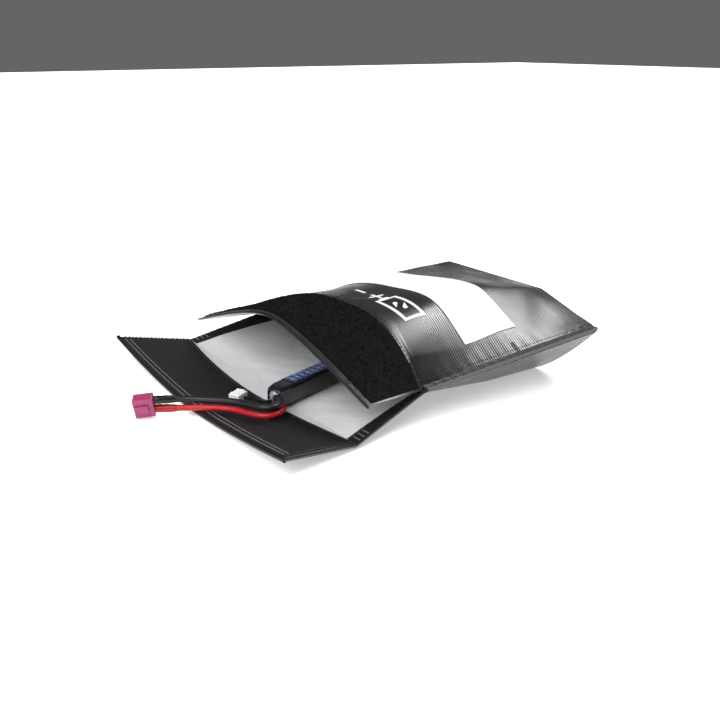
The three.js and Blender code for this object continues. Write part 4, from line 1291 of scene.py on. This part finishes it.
def moulded_block(name, size, centre, edge=0.5, segments=3):
    """A block with rounded edges, its sizes in millimetres, kept in millimetres until it is placed."""
    piece = block(name, size, centre)
    apply_modifier(piece, "BEVEL", width=edge, segments=segments, limit_method="ANGLE")
    return piece


def cut_away(piece, *tools):
    for tool in tools:
        apply_modifier(piece, "BOOLEAN", operation="DIFFERENCE", solver="EXACT", object=tool)
        bpy.data.objects.remove(tool)
    return piece


def melt_together(piece, *others):
    for other in others:
        apply_modifier(piece, "BOOLEAN", operation="UNION", solver="EXACT", object=other)
        bpy.data.objects.remove(other)
    return piece


housing = moulded_block("power_plug_housing", (PLUG_LENGTH, PLUG_DEPTH, PLUG_HEIGHT), (-PLUG_LENGTH / 2, 0, 0), 0.6)
key = moulded_block("key", (8.4, 3.2, 5.0), (-7.2, -PLUG_DEPTH / 2, 0), 0.4)
melt_together(housing, key)
slots = [
    moulded_block("slot", (10.0, 6.6, 1.6), (-PLUG_LENGTH, 0, PLUG_HEIGHT / 4), 0.1, 1),
    moulded_block("slot", (10.0, 1.6, 5.6), (-PLUG_LENGTH, 0, -PLUG_HEIGHT / 5), 0.1, 1),
]
grooves = [moulded_block("groove", (0.7, 1.2, 9.0), (-3.2 - 1.5 * k, PLUG_DEPTH / 2, 0), 0.1, 1) for k in (0, 1)]
recess = moulded_block("recess", (7.0, 4.6, 0.8), (-6.4, 0, PLUG_HEIGHT / 2 + 0.1), 0.1, 1)
cut_away(housing, *slots, *grooves, recess)
place_millimetres(housing, PLUG_AT, (PLUG_TURN, "Z"), (PLUG_PITCH, "Y"), (PLUG_ROLL, "X"))
finish_piece(housing, pink_nylon, "pink_nylon", "plug_housing", angle=35)

# %% [markdown]
# ## Balance plug and its wires
# The white plug carries one contact for each cell tap. Three thin wires, twisted side by side, lead to it
# from the front end of the pack.

# %% Balance plug
BALANCE_AT, BALANCE_TURN = (-22.2, -17.2, 6.4), math.radians(118)
BALANCE_SIZE, BALANCE_MIDDLE, SOCKET_PITCH = (7.6, 9.6, 4.6), 4.1, 2.5
white_plug = moulded_block("balance_plug_body", BALANCE_SIZE, (BALANCE_MIDDLE, 0, 0), 0.35)
ribs = [moulded_block("rib", (6.0, 1.0, 1.4), (BALANCE_MIDDLE, y, 2.55), 0.2, 2) for y in (-3.2, 3.2)]
melt_together(white_plug, *ribs)
sockets = [moulded_block("socket", (5.0, 1.2, 1.6), (8.0, SOCKET_PITCH * k, 0), 0.1, 1) for k in (-1, 0, 1)]
windows = [moulded_block("window", (1.8, 1.3, 1.0), (3.6, y, 2.3), 0.1, 1) for y in (-1.7, 1.7)]
cut_away(white_plug, *sockets, *windows)
place_millimetres(white_plug, BALANCE_AT, (BALANCE_TURN, "Z"))
finish_piece(white_plug, white_nylon, "white_nylon", "balance_plug", angle=35)

# %% Balance wires
line, length = smooth_line(BALANCE_ROUTE, 60)
forward = np.gradient(line, axis=0)
forward /= np.linalg.norm(forward, axis=1)[:, None]
aside = np.cross(forward, (0, 0, 1.0))
aside /= np.linalg.norm(aside, axis=1)[:, None]
upward = np.cross(aside, forward)
wires = []
for k in range(3):
    turn = np.linspace(0, 2.6, len(line))[:, None] + k * 2 * math.pi / 3
    offset = 0.5 * (np.cos(turn) * aside + np.sin(turn) * upward)
    wires.append(tube(f"balance_wire_{k}", row(line + offset), 0.00042, sides=12))
balance_wires = join("balance_wires", *wires)
finish_piece(balance_wires, black_silicone, "black_silicone", "balance_lead")

# %% [markdown]
# ## What moves
# The pouch and the pack are bodies. Every piece of the pouch rides on the pouch body, with its own copy of its
# mesh. The pieces of the flap have their places put into their meshes. The pack, its leads with their
# collars, both plugs and the balance wires ride on the pack body, and the leads, collars, plugs and wires get
# their own copies of their meshes.

# %% Bodies and own meshes
for piece in pouch_pieces:
    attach(piece, "pouch")
    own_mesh(piece)
for piece in flap_pieces:
    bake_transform(piece)
flexible = [housing, white_plug, balance_wires]
for lead, collar, _, _ in leads.values():
    flexible += [lead, collar]
for piece in pack_pieces + flexible:
    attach(piece, "pack")
for piece in flexible:
    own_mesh(piece)

# %% [markdown]
# ## Cords and sheets
# The leads are cords of a fixed length that end in the plug. Each main piece of cloth is a sheet, with the
# size it was cut to.

# %% [markdown]
# ## Floor and light
# The floor is a plain white table, lit faintly from below, in a dim surround. One very broad light stands
# behind and to the right, where the near slope of the bag mirrors it as a silver sheen while the flat top
# stays dark. A second one, above and to the front left, opens up the mouth.

# %% Floor
floor = primitive("floor", bpy.ops.mesh.primitive_plane_add, size=12, location=(0, 0, -0.0004))
floor_paint, tree, shader = new_material(
    "lit_acrylic_table", "#ffffff", 0.9, Specular_IOR_Level=0.1, Emission_Color=(1, 1, 1, 1), Emission_Strength=0.4
)
place = add(tree, "ShaderNodeTexCoord")
faint = add(tree, "ShaderNodeTexNoise", Vector=place.outputs["Object"], Scale=3.0)
tone = add(tree, "ShaderNodeMapRange", Value=faint.outputs[0], i3=0.985, i4=1.0)
tree.links.new(tone.outputs[0], shader.inputs["Base Color"])
floor.data.materials.append(floor_paint)

# %% Surround and lamps
world = bpy.data.worlds.new("studio")
bpy.context.scene.world = world
world.use_nodes = True
world.node_tree.nodes["Background"].inputs[0].default_value = (1, 1, 1, 1)
world.node_tree.nodes["Background"].inputs[1].default_value = 0.13


def broad_light(name, towards, spread_degrees, floor_share):
    """A light as wide as a window, seen in one direction; floor_share is how much of white it gives the floor."""
    towards = Vector(towards).normalized()
    data = bpy.data.lights.new(name, "SUN")
    data.angle, data.energy = math.radians(spread_degrees), math.pi * floor_share / towards.z
    lamp = bpy.data.objects.new(name, data)
    bpy.context.scene.collection.objects.link(lamp)
    lamp.rotation_mode = "QUATERNION"
    lamp.rotation_quaternion = (-towards).to_track_quat("-Z", "Y")


broad_light("back_right_light", (0.64, 0.1, 0.76), 30, 0.55)
broad_light("front_left_light", (-0.6, -0.2, 0.7), 60, 0.75)
bpy.context.scene.view_settings.view_transform = "Standard"
